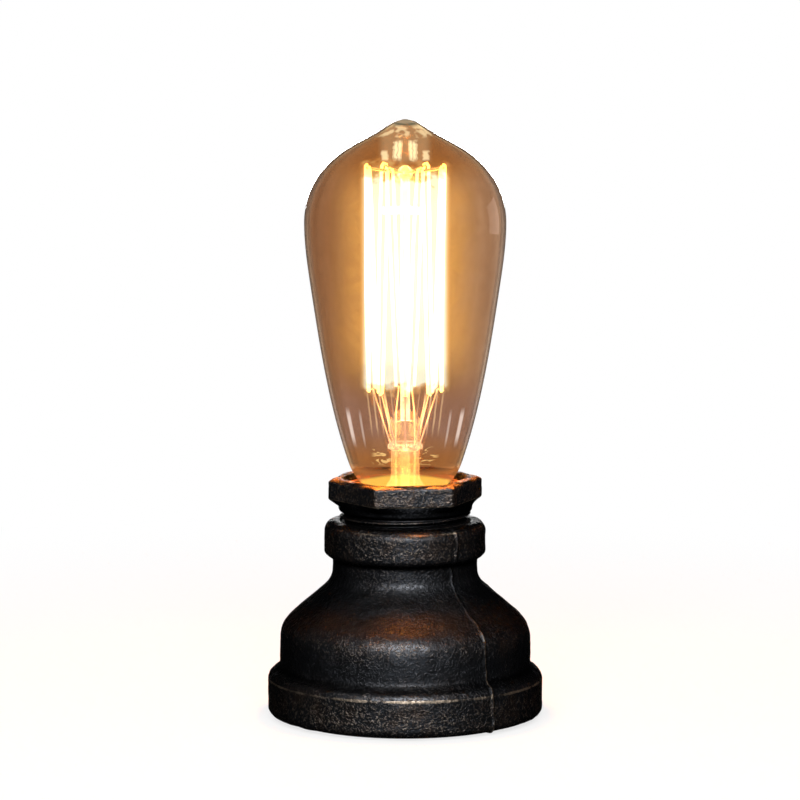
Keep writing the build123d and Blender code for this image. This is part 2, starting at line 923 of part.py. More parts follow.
def live_lead():
    """From the block's left pole to the terminal of the centre contact."""
    terminal_bottom = holder_bottom - terminal_height
    return lead(
        (-pole_spacing, block_front - lead_end_gap, wire_height),
        (-pole_spacing, block_front - 7.0, wire_height),
        (-pole_spacing - 3.0, 1.5, wire_height + 4.5),
        (-pole_spacing + 0.5, -8.5, wire_height + 9.5),
        (0, -terminal_offset, terminal_bottom - 7.5),
        (0, -terminal_offset, terminal_bottom - lead_end_gap),
    )


def neutral_lead():
    """From the block's right pole to the terminal of the screw shell."""
    terminal_bottom = holder_bottom - terminal_height
    return lead(
        (pole_spacing, block_front - lead_end_gap, wire_height),
        (pole_spacing, block_front - 5.5, wire_height),
        (pole_spacing - 2.5, block_front - 6.5, wire_height + 8.0),
        (0, terminal_offset, terminal_bottom - 6.5),
        (0, terminal_offset, terminal_bottom - lead_end_gap),
    )


def earth_lead():
    """From the block's middle pole to the lug."""
    barrel_end = lug_barrel_start + lug_barrel_length
    return lead(
        (0, block_front - lead_end_gap, wire_height), (0, barrel_end + lead_end_gap, wire_height)
    )


# ---- Bulb: cap -----------------------------------------------------------------------------
def cap_eyelet():
    """Centre contact of the bulb."""
    top = bulb_bottom + eyelet_height - eyelet_play
    return turned(
        (0, bulb_bottom),
        (eyelet_radius - 1.2, bulb_bottom),
        (eyelet_radius, top - 0.2),
        (eyelet_radius, top),
        (0, top),
    )


def cap_insulator():
    """Black glass between the eyelet and the screw shell."""
    z = bulb_bottom
    end_inside = cap_end_radius - cap_sheet - 0.05
    shell_bottom = z + cap_thread_start - cap_end_drop
    minor_inside = cap_mean_radius - screw_wave - cap_sheet - 0.05
    return turned(
        (insulator_hole, z + eyelet_height),
        (eyelet_radius + 0.1, z + eyelet_height),
        (end_inside, shell_bottom - 0.05),
        (end_inside, shell_bottom + 0.05),
        (minor_inside - 0.2, z + cap_thread_start),
        (minor_inside - 0.2, z + cap_thread_start + insulator_depth),
        (insulator_hole, z + cap_thread_start + insulator_depth),
    )


def cap_shell():
    """Thin brass shell of the bulb's cap, with its rolled thread and plain skirt."""
    z = bulb_bottom
    start, end = z + cap_thread_start, z + cap_thread_end
    minor = cap_mean_radius - screw_wave
    inner_mean = cap_mean_radius - cap_sheet
    inner_minor = minor - cap_sheet
    skirt, inner_skirt = cap_skirt_radius, cap_skirt_radius - cap_sheet
    rim = z + cap_rim_height
    lip_start = rim - 0.6
    shape = (screw_wave, screw_pitch, start, end, screw_run_out)
    return solid_of(
        screw_skin(cap_mean_radius, *shape),
        screw_skin(inner_mean, *shape),
        skins(
            lines(
                (minor, end),
                (skirt, end),
                (skirt, lip_start),
                (skirt + cap_lip, rim),
                (inner_skirt + cap_lip, rim),
                (inner_skirt, lip_start),
                (inner_skirt, end + cap_sheet),
                (inner_minor, end + cap_sheet),
                (inner_minor, end),
            )
        ),
        skins(
            lines(
                (minor, start),
                (cap_end_radius, start - cap_end_drop),
                (cap_end_radius - cap_sheet, start - cap_end_drop),
                (inner_minor, start),
            )
        ),
    )


def cap_cement():
    """Ring of cement between the cap's skirt and the glass neck."""
    inner = bulb_neck_radius + cement_play
    outer = cap_skirt_radius - cap_sheet - cement_play
    z = bulb_bottom
    neck_there = bulb_neck_top - 0.3
    return turned(
        (inner, z + cement_start),
        (outer, z + cement_start),
        (outer, z + min(cement_end, neck_there)),
        (inner, z + min(cement_end, neck_there)),
    )


# ---- Bulb: glass ---------------------------------------------------------------------------
def glass_outline():
    """The bulb's outside, from the tip down to the end of its neck."""
    z = bulb_bottom
    top = z + bulb_length
    crown = Edge.make_spline(
        [
            at(0, top),
            at(pip_radius, top - pip_drop),
            at(crown_radius, top - crown_drop),
            at(upper_radius, top - upper_drop),
            at(bulb_radius, z + bulb_widest),
        ],
        tangents=[Vector(1, 0, 0), Vector(0, 0, -1)],
    )
    taper = Edge.make_spline(
        [
            at(bulb_radius, z + bulb_widest),
            at(taper_radius, z + taper_height),
            at(heel_radius, z + heel_height),
            at(throat_glass_radius, z + throat_glass_height),
            at(bulb_neck_radius, z + bulb_neck_top),
        ],
        tangents=[Vector(0, 0, -1), Vector(0, 0, -1)],
    )
    neck = Edge.make_line(
        at(bulb_neck_radius, z + bulb_neck_top), at(bulb_neck_radius, z + bulb_neck_end)
    )
    return crown, taper, neck


def set_in(edge, distance, samples):
    """The edge moved towards the inside of the bulb by a distance."""
    points = []
    for sample in range(samples + 1):
        share = sample / samples
        along = edge % share
        inward = Vector(along.Z, 0, -along.X)
        points.append(edge @ share + inward * distance)
    return Edge.make_spline(points, tangents=[edge % 0, edge % 1])


def bulb_glass():
    """Thin glass envelope, open at the end of its neck."""
    crown, taper, neck = glass_outline()
    inner_crown = set_in(crown, glass_wall, 16)
    inner_taper = set_in(taper, glass_wall, 24)
    inner_neck = Edge.make_line(inner_taper @ 1, at(bulb_neck_radius - glass_wall, (neck @ 1).Z))
    top = Edge.make_line(crown @ 0, inner_crown @ 0)
    end = Edge.make_line(neck @ 1, inner_neck @ 1)
    outline = Wire([crown, taper, neck, end, inner_neck, inner_taper, inner_crown, top])
    return revolve(make_face(outline), Axis.Z)


def bulb_stem():
    """Glass stem: a flare sealed into the neck, a tube, and the press that holds the wires."""
    z = bulb_bottom
    rim = bulb_neck_radius - glass_wall - flare_play
    inner_rim = rim - stem_wall
    inner_tube = stem_radius - stem_wall
    low, high = z + bulb_neck_end, z + flare_top
    closed = z + press_bottom - 1
    outer_flare = Edge.make_spline(
        [at(rim, low), at(stem_radius, high)], tangents=[Vector(0, 0, 1), Vector(0, 0, 1)]
    )
    inner_flare = Edge.make_spline(
        [at(inner_rim, low), at(inner_tube, high - stem_wall)],
        tangents=[Vector(0, 0, 1), Vector(0, 0, 1)],
    )
    outline = Wire(
        [
            outer_flare,
            *lines(
                (stem_radius, high),
                (stem_radius, closed),
                (stem_radius - 1.2, closed + 1.4),
                (0, closed + 1.4),
                (0, closed),
                (inner_tube, closed - 1.5),
                (inner_tube, high - stem_wall),
            ),
            inner_flare,
            Edge.make_line(at(inner_rim, low), at(rim, low)),
        ]
    )
    stem = revolve(make_face(outline), Axis.Z)
    bead_middle = z + press_bottom - collar_bead_height / 2
    stem = stem + turned(
        (stem_radius - stem_wall, bead_middle - collar_bead_height / 2),
        (stem_radius, bead_middle - collar_bead_height / 2),
        (collar_bead_radius, bead_middle - collar_bead_height / 4),
        (collar_bead_radius, bead_middle + collar_bead_height / 4),
        (stem_radius, bead_middle + collar_bead_height / 2),
        (stem_radius - stem_wall, bead_middle + collar_bead_height / 2),
    )
    press = block(press_width, press_depth, closed, z + press_bottom + press_height)
    press = fillet(press.edges().filter_by(Axis.Z), 1.2)
    stem = stem + press
    for wire in lead_in_wires(wire_play) + support_wires_lower(wire_play):
        stem = stem - wire
    return stem


def exhaust_tube():
    """Sealed-off pumping tube inside the stem."""
    z = bulb_bottom
    tube = post(exhaust_radius, z + exhaust_start, z + exhaust_end)
    return tube - post(exhaust_bore, z + exhaust_start + 1.5, z + exhaust_end + 1)


def stem_rod():
    """Glass rod up the middle, with the bead that the upper hooks are melted into."""
    z = bulb_bottom
    bottom = z + press_bottom + press_height
    rod = post(centre_rod_radius, bottom, z + bead_height) + Pos(0, 0, z + bead_height) * Sphere(
        bead_radius
    )
    for wire in support_wires_upper(wire_play):
        rod = rod - wire
    return rod


# ---- Bulb: wires ---------------------------------------------------------------------------
def strand_angle(index):
    """Angle of the filament's turning points, counted from one lead-in wire to the other."""
    step = 360 / (2 * hook_count + 1)
    return 90 + step / 2 + index * step


def cage_point(index, outward=0.0, upward=0.0):
    """A turning point of the filament: the even ones are below and the odd ones above."""
    if index % 2:
        return polar(cage_top_radius + outward, strand_angle(index), bulb_bottom + cage_top + upward)
    return polar(
        cage_bottom_radius + outward, strand_angle(index), bulb_bottom + cage_bottom + upward
    )


def filament():
    """One long filament, laced up and down between the hooks."""
    count = 2 * hook_count
    half_loop = hook_radius + filament_radius + hook_gap
    points = [cage_point(0)]
    for index in range(1, count):
        angle = math.radians(strand_angle(index))
        along = Vector(-math.sin(angle), math.cos(angle), 0) * half_loop
        points += [Vector(*cage_point(index)) - along, Vector(*cage_point(index)) + along]
    points.append(cage_point(count))
    return bent_wire(points, filament_radius)


def support_wires_upper(grown=0.0):
    """Hooks from the bead out to the top of the filament."""
    drop = -(filament_radius + hook_radius + hook_gap)
    wires = []
    for index in range(1, 2 * hook_count, 2):
        inner = polar(bead_radius / 2, strand_angle(index), bulb_bottom + bead_height)
        hook = cage_point(index, upward=drop)
        tail = cage_point(index, outward=hook_tail, upward=drop + hook_tail / 2)
        wires.append(bent_wire([inner, hook, tail], hook_radius + grown))
    return wires


def support_wires_lower(grown=0.0):
    """Hooks from the stem up to the bottom of the filament."""
    rise = filament_radius + hook_radius + hook_gap
    wires = []
    for index in range(2, 2 * hook_count, 2):
        inner = polar(
            stem_radius, strand_angle(index), bulb_bottom + press_bottom - collar_bead_height / 2
        )
        knee = cage_point(index, outward=-hook_knee, upward=rise)
        hook = cage_point(index, upward=rise)
        tail = cage_point(index, outward=hook_tail, upward=rise - hook_tail / 2)
        wires.append(bent_wire([inner, knee, hook, tail], hook_radius + grown))
    return wires


def lead_in_wires(grown=0.0):
    """The two wires that carry the filament's ends and run down to the cap."""
    z = bulb_bottom
    count = 2 * hook_count
    above_press = z + press_bottom + press_height + 2
    below_press = z + press_bottom - 4
    tip_gap = hook_gap + filament_radius
    side_reach = cap_mean_radius - screw_wave - cap_sheet - lead_in_radius - 0.2
    left = bent_wire(
        [
            cage_point(0, outward=-tip_gap - lead_in_radius),
            (-lead_in_spread, 0, above_press),
            (-lead_in_spread, 0, below_press),
            (-lead_in_spread, 0, z + flare_top),
            (-lead_in_spread, 0, z + lead_in_side_height + 4),
            (-side_reach, 0, z + lead_in_side_height),
        ],
        lead_in_radius + grown,
    )
    right = bent_wire(
        [
            cage_point(count, outward=-tip_gap - lead_in_radius),
            (lead_in_spread, 0, above_press),
            (lead_in_spread, 0, below_press),
            (lead_in_spread, 0, z + lead_in_side_height - 2),
            (0, 0, z + cap_thread_start + insulator_depth + 2),
            (0, 0, z + eyelet_height + 0.3),
        ],
        lead_in_radius + grown,
    )
    return [left, right]


def bent_wire(points, radius):
    """A bent wire: straight bars, with a ball a touch thicker than the wire at each bend."""
    wire = bar(points[0], points[1], radius)
    for corner, end in zip(points[1:], points[2:]):
        wire = wire + Pos(*corner) * Sphere(radius * bend_swell) + bar(corner, end, radius)
    return wire


# ---- Write the parts -----------------------------------------------------------------------
PARTS = {
    "reducing_socket": reducing_socket,
    "cord_grommet": cord_grommet,
    "foot_pad": foot_pad,
    "base_plate": base_plate,
    "hex_bushing": hex_bushing,
    "holder_porcelain": holder_porcelain,
    "holder_screw_shell": holder_screw_shell,
    "holder_centre_contact": holder_centre_contact,
    "contact_rivets": contact_rivets,
    "holder_terminals": holder_terminals,
    "terminal_screws": terminal_screws,
    "mounting_strap": mounting_strap,
    "strap_screws": strap_screws,
    "threaded_rod": threaded_rod,
    "rod_nuts": rod_nuts,
    "lock_washers": lock_washers,
    "terminal_block": terminal_block,
    "block_tubes": block_tubes,
    "block_pole_screws": block_pole_screws,
    "block_fixing_screws": block_fixing_screws,
    "earth_lug": earth_lug,
    "live_lead": live_lead,
    "neutral_lead": neutral_lead,
    "earth_lead": earth_lead,
    "cap_eyelet": cap_eyelet,
    "cap_insulator": cap_insulator,
    "cap_shell": cap_shell,
    "cap_cement": cap_cement,
    "bulb_glass": bulb_glass,
    "bulb_stem": bulb_stem,
    "exhaust_tube": exhaust_tube,
    "stem_rod": stem_rod,
    "lead_in_wires": lead_in_wires,
    "support_wires_upper": support_wires_upper,
    "support_wires_lower": support_wires_lower,
    "filament": filament,
}

os.makedirs("parts", exist_ok=True)
for name, make in PARTS.items():
    made = make()
    solids = made if isinstance(made, list) else [made]
    solids = [solid for piece in solids for solid in piece.solids()]
    whole = Compound(label=name, children=solids) if len(solids) > 1 else solids[0]
    export_step(whole, f"parts/{name}.step")
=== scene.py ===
"""Dresses the pipe lamp: cast foot, hexagon bushing, filament bulb and what they hold."""

import json
import math

import bpy
import numpy as np
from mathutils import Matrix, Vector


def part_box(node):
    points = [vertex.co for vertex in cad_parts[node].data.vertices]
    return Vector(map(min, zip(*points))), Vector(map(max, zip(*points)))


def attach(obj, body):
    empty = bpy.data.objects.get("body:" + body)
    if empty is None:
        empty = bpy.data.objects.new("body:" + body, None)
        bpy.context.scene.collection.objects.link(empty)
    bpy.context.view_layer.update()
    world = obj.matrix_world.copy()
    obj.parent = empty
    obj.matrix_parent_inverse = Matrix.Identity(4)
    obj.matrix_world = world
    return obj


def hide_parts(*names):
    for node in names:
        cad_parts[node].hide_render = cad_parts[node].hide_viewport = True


bl_info = {
    "name": "Pipe Lamp",
    "version": (1, 0, 0),
    "blender": (4, 5, 0),
    "location": "3D View > Sidebar > Pipe Lamp",
    "description": "Builds a table lamp from a cast pipe socket, a bushing and a filament bulb",
    "category": "Add Mesh",
}

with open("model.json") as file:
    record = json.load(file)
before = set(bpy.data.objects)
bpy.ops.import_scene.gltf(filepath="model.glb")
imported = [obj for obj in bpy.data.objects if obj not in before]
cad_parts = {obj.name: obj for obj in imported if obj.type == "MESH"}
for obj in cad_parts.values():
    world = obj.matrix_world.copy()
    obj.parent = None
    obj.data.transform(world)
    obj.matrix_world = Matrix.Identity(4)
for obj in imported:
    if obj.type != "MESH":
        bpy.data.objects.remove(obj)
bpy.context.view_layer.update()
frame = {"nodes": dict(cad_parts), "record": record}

MM = 0.001
TURN = 2 * math.pi

# Heights and radii in millimetres.
RIM_BOTTOM = 1.0
SOCKET_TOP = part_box("reducing_socket")[1].z / MM
HEX_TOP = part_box("hex_bushing")[1].z / MM
BUSHING_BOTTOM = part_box("hex_bushing")[0].z / MM
GLASS_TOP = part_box("bulb_glass")[1].z / MM
GLASS_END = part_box("bulb_glass")[0].z / MM
BULB_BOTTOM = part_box("cap_eyelet")[0].z / MM
SEAM_ANGLES = (math.radians(-51), math.radians(129))
INLET_HEIGHT = 22.0
INLET_RADIUS = 4.1
HEX_FLATS = 43.0
HEX_TURN = math.radians(7.5)
PIPE_PITCH = 25.4 / 11
STRANDS = 16
HEX_CORNER = 24.83
HOLDER_SEAT = 19.5
SHOWN_THREAD = 3.3
BULB_RADIUS, BULB_WIDEST, BULB_NECK = 32.0, 111.2, 12.2

# The casting's radii and its collar's top edge, in millimetres.
RECESS_RADIUS, COLLAR_RADIUS, BODY_RADIUS = 38.9, 43.85, 40.0
NECK_RADIUS, BAND_RADIUS, MOUTH_RADIUS = 23.1, 25.7, 21.1
COLLAR_TOP = 12.6

# Where the lamp is usually seen from, in metres.
VIEW_DISTANCE = 1.6
VIEW_HEIGHT = 0.321


# ---- Settings ----
def length(name, description, default, low, high):
    """A length property, in metres."""
    return bpy.props.FloatProperty(
        name=name, description=description, default=default, min=low, max=high, unit="LENGTH"
    )


def share(name, description, default):
    """A property from 0 to 1."""
    return bpy.props.FloatProperty(
        name=name, description=description, default=default, min=0, max=1, subtype="FACTOR"
    )


def tone(name, description, default):
    """A colour property, in linear red, green and blue."""
    return bpy.props.FloatVectorProperty(
        name=name, description=description, default=default, min=0, max=1, size=3, subtype="COLOR"
    )


class LampSizes(bpy.types.PropertyGroup):
    """Sizes that may change without moving anything that has to fit."""

    lump_height: length("Lump height", "Height of the casting's broad lumps", 0.00011, 0, 0.001)
    grit_height: length("Grit height", "Height of the moulding sand's marks", 0.00005, 0, 0.001)
    seam_height: length("Seam height", "How far the parting line stands out", 0.0005, 0, 0.001)
    mould_shift: length("Mould shift", "Step between the two mould halves", 0.00018, 0, 0.001)
    filament_radius: length("Filament radius", "Half the coil's thickness", 0.00052, 0.0001, 0.001)
    glass_wall: length("Glass wall", "Thickness of the bulb's glass", 0.0009, 0.0003, 0.002)


class LampFinish(bpy.types.PropertyGroup):
    """Colours and wear."""

    iron: tone("Iron", "Sheen of the casting's oiled black skin", (0.03, 0.032, 0.036))
    bronze: tone("Bronze rub", "Sheen where the black is thin", (0.07, 0.052, 0.042))
    bright: tone("Worn iron", "Bare metal along the edges", (0.22, 0.18, 0.14))
    brass: tone("Brass", "Cap and contacts", (0.72, 0.50, 0.20))
    zinc: tone("Zinc", "Plated steel parts", (0.52, 0.53, 0.55))
    porcelain: tone("Porcelain", "Glazed body of the holder", (0.82, 0.79, 0.72))
    amber: tone("Amber", "Tint of the bulb's glass", (0.56, 0.36, 0.22))
    hot: tone("Hot wire", "Light of the filament", (1.0, 0.82, 0.52))
    wear: share("Wear", "How far the edges are rubbed bare", 0.55)
    lamp_watts: bpy.props.FloatProperty(
        name="Lamp power", description="Light that the bulb throws on its foot", default=5.0,
        min=0, max=20, unit="POWER",
    )


# ---- Shapes ----
def eased(corners, reach, steps=7, closed=False):
    """A line through corners, each rounded by a parabola.

    Near a corner P the line is (1-t)^2 A + 2t(1-t) P + t^2 B, where A and B lie on its two
    legs at the corner's reach.
    """
    corners = np.asarray(corners, float)
    reach = np.broadcast_to(np.asarray(reach, float), len(corners))[:, None]
    to_last = np.roll(corners, 1, 0) - corners
    to_next = np.roll(corners, -1, 0) - corners
    start = corners + to_last / np.linalg.norm(to_last, axis=1, keepdims=True) * reach
    end = corners + to_next / np.linalg.norm(to_next, axis=1, keepdims=True) * reach
    t = np.linspace(0, 1, steps)[None, :, None]
    bends = (1 - t) ** 2 * start[:, None] + 2 * t * (1 - t) * corners[:, None] + t**2 * end[:, None]
    line = bends.reshape(-1, corners.shape[1])
    if closed:
        return line
    return np.vstack([corners[:1], line[steps:-steps], corners[-1:]])


def spaced(line, count):
    """The line sampled at equal distances along it."""
    steps = np.linalg.norm(np.diff(line, axis=0), axis=1)
    line = line[np.concatenate([[True], steps > 1e-9])]
    along = np.concatenate([[0], np.cumsum(np.linalg.norm(np.diff(line, axis=0), axis=1))])
    places = np.linspace(0, along[-1], count)
    return np.stack([np.interp(places, along, axis) for axis in line.T], 1)


def spline(knots, start, end, count):
    """A smooth line through knots with given end directions.

    Each span is a cubic Hermite curve over its chord length, and the slopes at the knots
    solve the usual band of equations that makes the curvature run on.
    """
    knots = np.asarray(knots, float)
    chords = np.linalg.norm(np.diff(knots, axis=0), axis=1)
    places = np.concatenate([[0], np.cumsum(chords)])
    size = len(knots)
    band = np.eye(size)
    sides = np.zeros_like(knots)
    sides[0], sides[-1] = start, end
    inner = np.arange(1, size - 1)
    band[inner, inner - 1] = chords[1:]
    band[inner, inner] = 2 * (chords[:-1] + chords[1:])
    band[inner, inner + 1] = chords[:-1]
    rise = np.diff(knots, axis=0) / chords[:, None]
    sides[1:-1] = 3 * (chords[1:, None] * rise[:-1] + chords[:-1, None] * rise[1:])
    slopes = np.linalg.solve(band, sides)
    wanted = np.linspace(0, places[-1], count)
    span = np.clip(np.searchsorted(places, wanted, "right") - 1, 0, size - 2)
    width = chords[span][:, None]
    t = ((wanted - places[span]) / chords[span])[:, None]
    return (
        (2 * t**3 - 3 * t**2 + 1) * knots[span]
        + (t**3 - 2 * t**2 + t) * width * slopes[span]
        + (3 * t**2 - 2 * t**3) * knots[span + 1]
        + (t**3 - t**2) * width * slopes[span + 1]
    )


def normals_of(outline):
    """Unit normals of an outline in the (radius, height) plane, to the right of its run."""
    run = np.gradient(outline, axis=0)
    run /= np.maximum(np.linalg.norm(run, axis=1, keepdims=True), 1e-12)
    return np.stack([run[:, 1], -run[:, 0]], 1)


def lumps(points, size, seed, waves=48):
    """Smooth unevenness from -1 to 1: a sum of sine waves of random heading and phase.

    Each wave's length is near the given size, in the points' own unit.
    """
    draw = np.random.default_rng(seed)
    heading = draw.normal(size=(3, waves))
    heading /= np.linalg.norm(heading, axis=0)
    rate = TURN / (size * draw.uniform(0.7, 1.6, waves))
    phase = draw.uniform(0, TURN, waves)
    total = np.sin(points @ (heading * rate) + phase).sum(-1)
    return total / math.sqrt(waves / 2) / 2


def bell(values, centre, width):
    """A bell curve: e^(-((value - centre) / width)^2)."""
    return np.exp(-(((values - centre) / width) ** 2))


def angles_denser_near(centres, count, spread, gain):
    """Angles round the circle, closer together near the centres.

    Their density is 1 plus gain times a bell curve of the given spread about each centre.
    """
    fine = np.linspace(0, TURN, 7201)
    off = angle_from(fine[:, None], np.asarray(centres))
    density = 1 + gain * bell(off, 0, spread).sum(1)
    total = np.concatenate([[0], np.cumsum((density[1:] + density[:-1]) / 2)])
    places = np.linspace(0, total[-1], count, endpoint=False)
    return np.interp(places, total, fine)


def angle_from(angles, centre):
    """Signed angle from a centre, from -pi to pi."""
    return (angles - centre + math.pi) % TURN - math.pi


def ring_of(radius, height, angles):
    """Rows of points round Z, from a radius and a height for each: (r cos a, r sin a, z)."""
    return np.stack([radius * np.cos(angles), radius * np.sin(angles), height + 0 * angles], -1)


def turned(outline, angles):
    """An outline of (radius, height) carried round Z."""
    return ring_of(outline[:, :1], outline[:, 1:], angles)


def push(ring, angles, out, up):
    """Moves rows of points round Z outwards and upwards by the given distances."""
    ring[..., 0] += out * np.cos(angles)
    ring[..., 1] += out * np.sin(angles)
    ring[..., 2] += up


def tube(path, radius, sides, across):
    """A round tube along a path: path + radius (n cos a + b sin a).

    n is square to the run and to the direction across, and b is square to both run and n.
    """
    run = np.gradient(path, axis=0)
    run /= np.linalg.norm(run, axis=1, keepdims=True)
    first = np.cross(run, across)
    first /= np.linalg.norm(first, axis=1, keepdims=True)
    second = np.cross(run, first)
    angles = np.linspace(0, TURN, sides, endpoint=False)
    radius = np.broadcast_to(radius, len(path))[:, None, None]
    circle = first[:, None] * np.cos(angles)[:, None] + second[:, None] * np.sin(angles)[:, None]
    return path[:, None] + radius * circle


def skin(grid, around_rows=False, ends=(False, False)):
    """Vertices and faces of a grid of points that closes round its columns.

    Its rows can close too, or each end can be drawn together in a point at its middle.
    """
    rows, columns = grid.shape[:2]
    vertices = grid.reshape(-1, 3)
    index = np.arange(rows * columns).reshape(rows, columns)
    if around_rows:
        index = np.vstack([index, index[:1]])
    index = np.hstack([index, index[:, :1]])
    quads = np.stack([index[:-1, :-1], index[:-1, 1:], index[1:, 1:], index[1:, :-1]], -1)
    faces = quads.reshape(-1, 4).tolist()
    if ends[0]:
        pole = np.full(columns, len(vertices))
        faces += np.stack([pole, index[0, 1:], index[0, :-1]], 1).tolist()
        vertices = np.vstack([vertices, grid[:1].mean(1)])
    if ends[1]:
        pole = np.full(columns, len(vertices))
        faces += np.stack([index[-1, :-1], index[-1, 1:], pole], 1).tolist()
        vertices = np.vstack([vertices, grid[-1:].mean(1)])
    return vertices, faces


def linked(name, points, faces):
    """A new object in the scene, from points in millimetres."""
    mesh = bpy.data.meshes.new(name)
    mesh.from_pydata((points * MM).tolist(), [], faces)
    made = bpy.data.objects.new(name, mesh)
    bpy.context.scene.collection.objects.link(made)
    return made


def piece(name, shape, body, node, material, marks):
    """One object from a skin, with vertex marks, riding on a body in a CAD node's place."""
    made = linked(name, *shape)
    mesh = made.data
    mesh.polygons.foreach_set("use_smooth", np.ones(len(mesh.polygons), bool))
    for label, values in marks.items():
        mark = mesh.attributes.new(label, "FLOAT", "POINT")
        mark.data.foreach_set("value", np.asarray(values, np.float32).ravel())
    mesh.materials.append(material)
    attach(made, body)
    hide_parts(node)
    return made


def drilled(made, start, end, radius):
    """Cuts a round hole from start to end, in millimetres, through a piece."""
    bar = tube(np.linspace(start, end, 2), radius, 48, (0, 0, 1))
    cutter = linked("drill", *skin(bar, ends=(True, True)))
    cut = made.modifiers.new("hole", "BOOLEAN")
    cut.object, cut.operation, cut.solver = cutter, "DIFFERENCE", "EXACT"
    view = bpy.context.evaluated_depsgraph_get()
    holed = bpy.data.meshes.new_from_object(made.evaluated_get(view))
    made.modifiers.clear()
    made.data = holed
    bpy.data.objects.remove(cutter)


# ---- Node graphs ----
class Graph:
    """Adds and links the nodes of one node tree."""

    def __init__(self, tree):
        self.tree = tree
        tree.nodes.clear()

    def add(self, kind, inputs=(), **settings):
        """A node with its settings, and its inputs set or linked."""
        node = self.tree.nodes.new(kind if kind.startswith("NodeGroup") else "ShaderNode" + kind)
        for name, value in settings.items():
            setattr(node, name, value)
        for name, value in dict(inputs).items():
            self.put(node.inputs[name], value)
        return node

    def put(self, socket, value):
        """Links a socket, or sets its value."""
        if isinstance(value, bpy.types.NodeSocket):
            self.tree.links.new(value, socket)
        elif socket.type == "RGBA":
            socket.default_value = (*value, 1)
        else:
            socket.default_value = value

    def maths(self, operation, *values, clamp=False):
        """A Math node's result."""
        node = self.add("Math", enumerate(values), operation=operation, use_clamp=clamp)
        return node.outputs[0]

    def times(self, first, *others):
        """A product."""
        for other in others:
            first = self.maths("MULTIPLY", first, other)
        return first

    def plus(self, first, *others):
        """A sum."""
        for other in others:
            first = self.maths("ADD", first, other)
        return first

    def minus(self, first, second):
        """A difference."""
        return self.maths("SUBTRACT", first, second)

    def ramp(self, value, low, high, to_low=0.0, to_high=1.0):
        """A smooth step of a value from low to high."""
        limits = {"From Min": low, "From Max": high, "To Min": to_low, "To Max": to_high}
        inputs = {"Value": value, **limits}
        node = self.add("MapRange", inputs, interpolation_type="SMOOTHSTEP")
        return node.outputs["Result"]

    def inside(self, value, rise, top, edge, fall):
        """1 between two smooth steps: up from rise to top, and down from edge to fall."""
        return self.times(self.ramp(value, rise, top), self.ramp(value, fall, edge))

    def mixed(self, factor, first, second, blend="MIX"):
        """Two colours mixed."""
        node = self.add(
            "Mix", {0: factor, 6: first, 7: second}, data_type="RGBA", blend_type=blend
        )
        return node.outputs[2]

    def tinted(self, colour, factor):
        """A colour times a value or another colour."""
        return self.mixed(1.0, colour, factor, "MULTIPLY")

    def lit(self, light, colour, share):
        """A light with a share of a colour added."""
        return self.mixed(1.0, light, self.tinted(colour, share), "ADD")

    def between(self, factor, first, second):
        """Two values mixed."""
        return self.add("Mix", {0: factor, 2: first, 3: second}).outputs[0]

    def either(self, factor, first, second):
        """Two shaders mixed."""
        return self.add("MixShader", {0: factor, 1: first, 2: second}).outputs[0]

    def noise(self, vector, size, detail=3.0, roughness=0.5, distortion=0.0):
        """Noise of a size in metres, or of a rate that a socket gives."""
        scale = size if isinstance(size, bpy.types.NodeSocket) else 1 / size
        inputs = {"Vector": vector, "Scale": scale, "Detail": detail, "Roughness": roughness}
        return self.add("TexNoise", {**inputs, "Distortion": distortion}).outputs[0]

    def place(self):
        """Object coordinates."""
        return self.add("TexCoord").outputs["Object"]

    def stretched(self, vector, scale):
        """A vector with each axis times its scale."""
        node = self.add("VectorMath", {0: vector, 1: scale}, operation="MULTIPLY")
        return node.outputs["Vector"]

    def length_of(self, vector):
        """The length of a vector."""
        node = self.add("VectorMath", {0: vector}, operation="LENGTH")
        return node.outputs["Value"]

    def height_of(self, vector):
        """The Z of a vector."""
        return self.add("SeparateXYZ", {0: vector}).outputs["Z"]

    def mark(self, label):
        """A vertex mark's value."""
        return self.add("Attribute", attribute_name=label).outputs["Fac"]

    def facing(self):
        """0 where a surface is seen square on, 1 at its outline."""
        return self.add("LayerWeight", {"Blend": 0.5}).outputs["Facing"]

    def ray(self, label):
        """A fact of the ray that asks."""
        return self.add("LightPath").outputs[label]

    def use(self, make, inputs):
        """A node group, placed. It is built the first time that it is asked for."""
        if make not in GROUPS:
            GROUPS[make] = make()
        return self.add("Group", inputs, node_tree=GROUPS[make]).outputs

    def bump(self, height, distance):
        """A bumped normal. The distance is in metres."""
        return self.add("Bump", {"Height": height, "Distance": distance}).outputs[0]

    def surface(self, **inputs):
        """A Principled shader with the given inputs, by name."""
        named = {name.replace("_", " ").title(): value for name, value in inputs.items()}
        if "Ior" in named:
            named["IOR"] = named.pop("Ior")
        return self.add("BsdfPrincipled", named).outputs[0]

    def show(self, shader):
        """Ends the material with a shader."""
        self.add("OutputMaterial", {"Surface": shader})


GROUPS = {}


def group_of(name, inputs, outputs):
    """A new node group: its Graph, its input sockets and a function that ends it."""
    tree = bpy.data.node_groups.new(name, "ShaderNodeTree")
    kinds = {"C": "NodeSocketColor", "F": "NodeSocketFloat", "V": "NodeSocketVector"}
    for label, (kind, default) in inputs.items():
        socket = tree.interface.new_socket(label, in_out="INPUT", socket_type=kinds[kind])
        if default is not None:
            socket.default_value = (*default, 1) if kind == "C" else default
    for label, kind in outputs.items():
        tree.interface.new_socket(label, in_out="OUTPUT", socket_type=kinds[kind])
    graph = Graph(tree)
    return graph, graph.add("NodeGroupInput").outputs


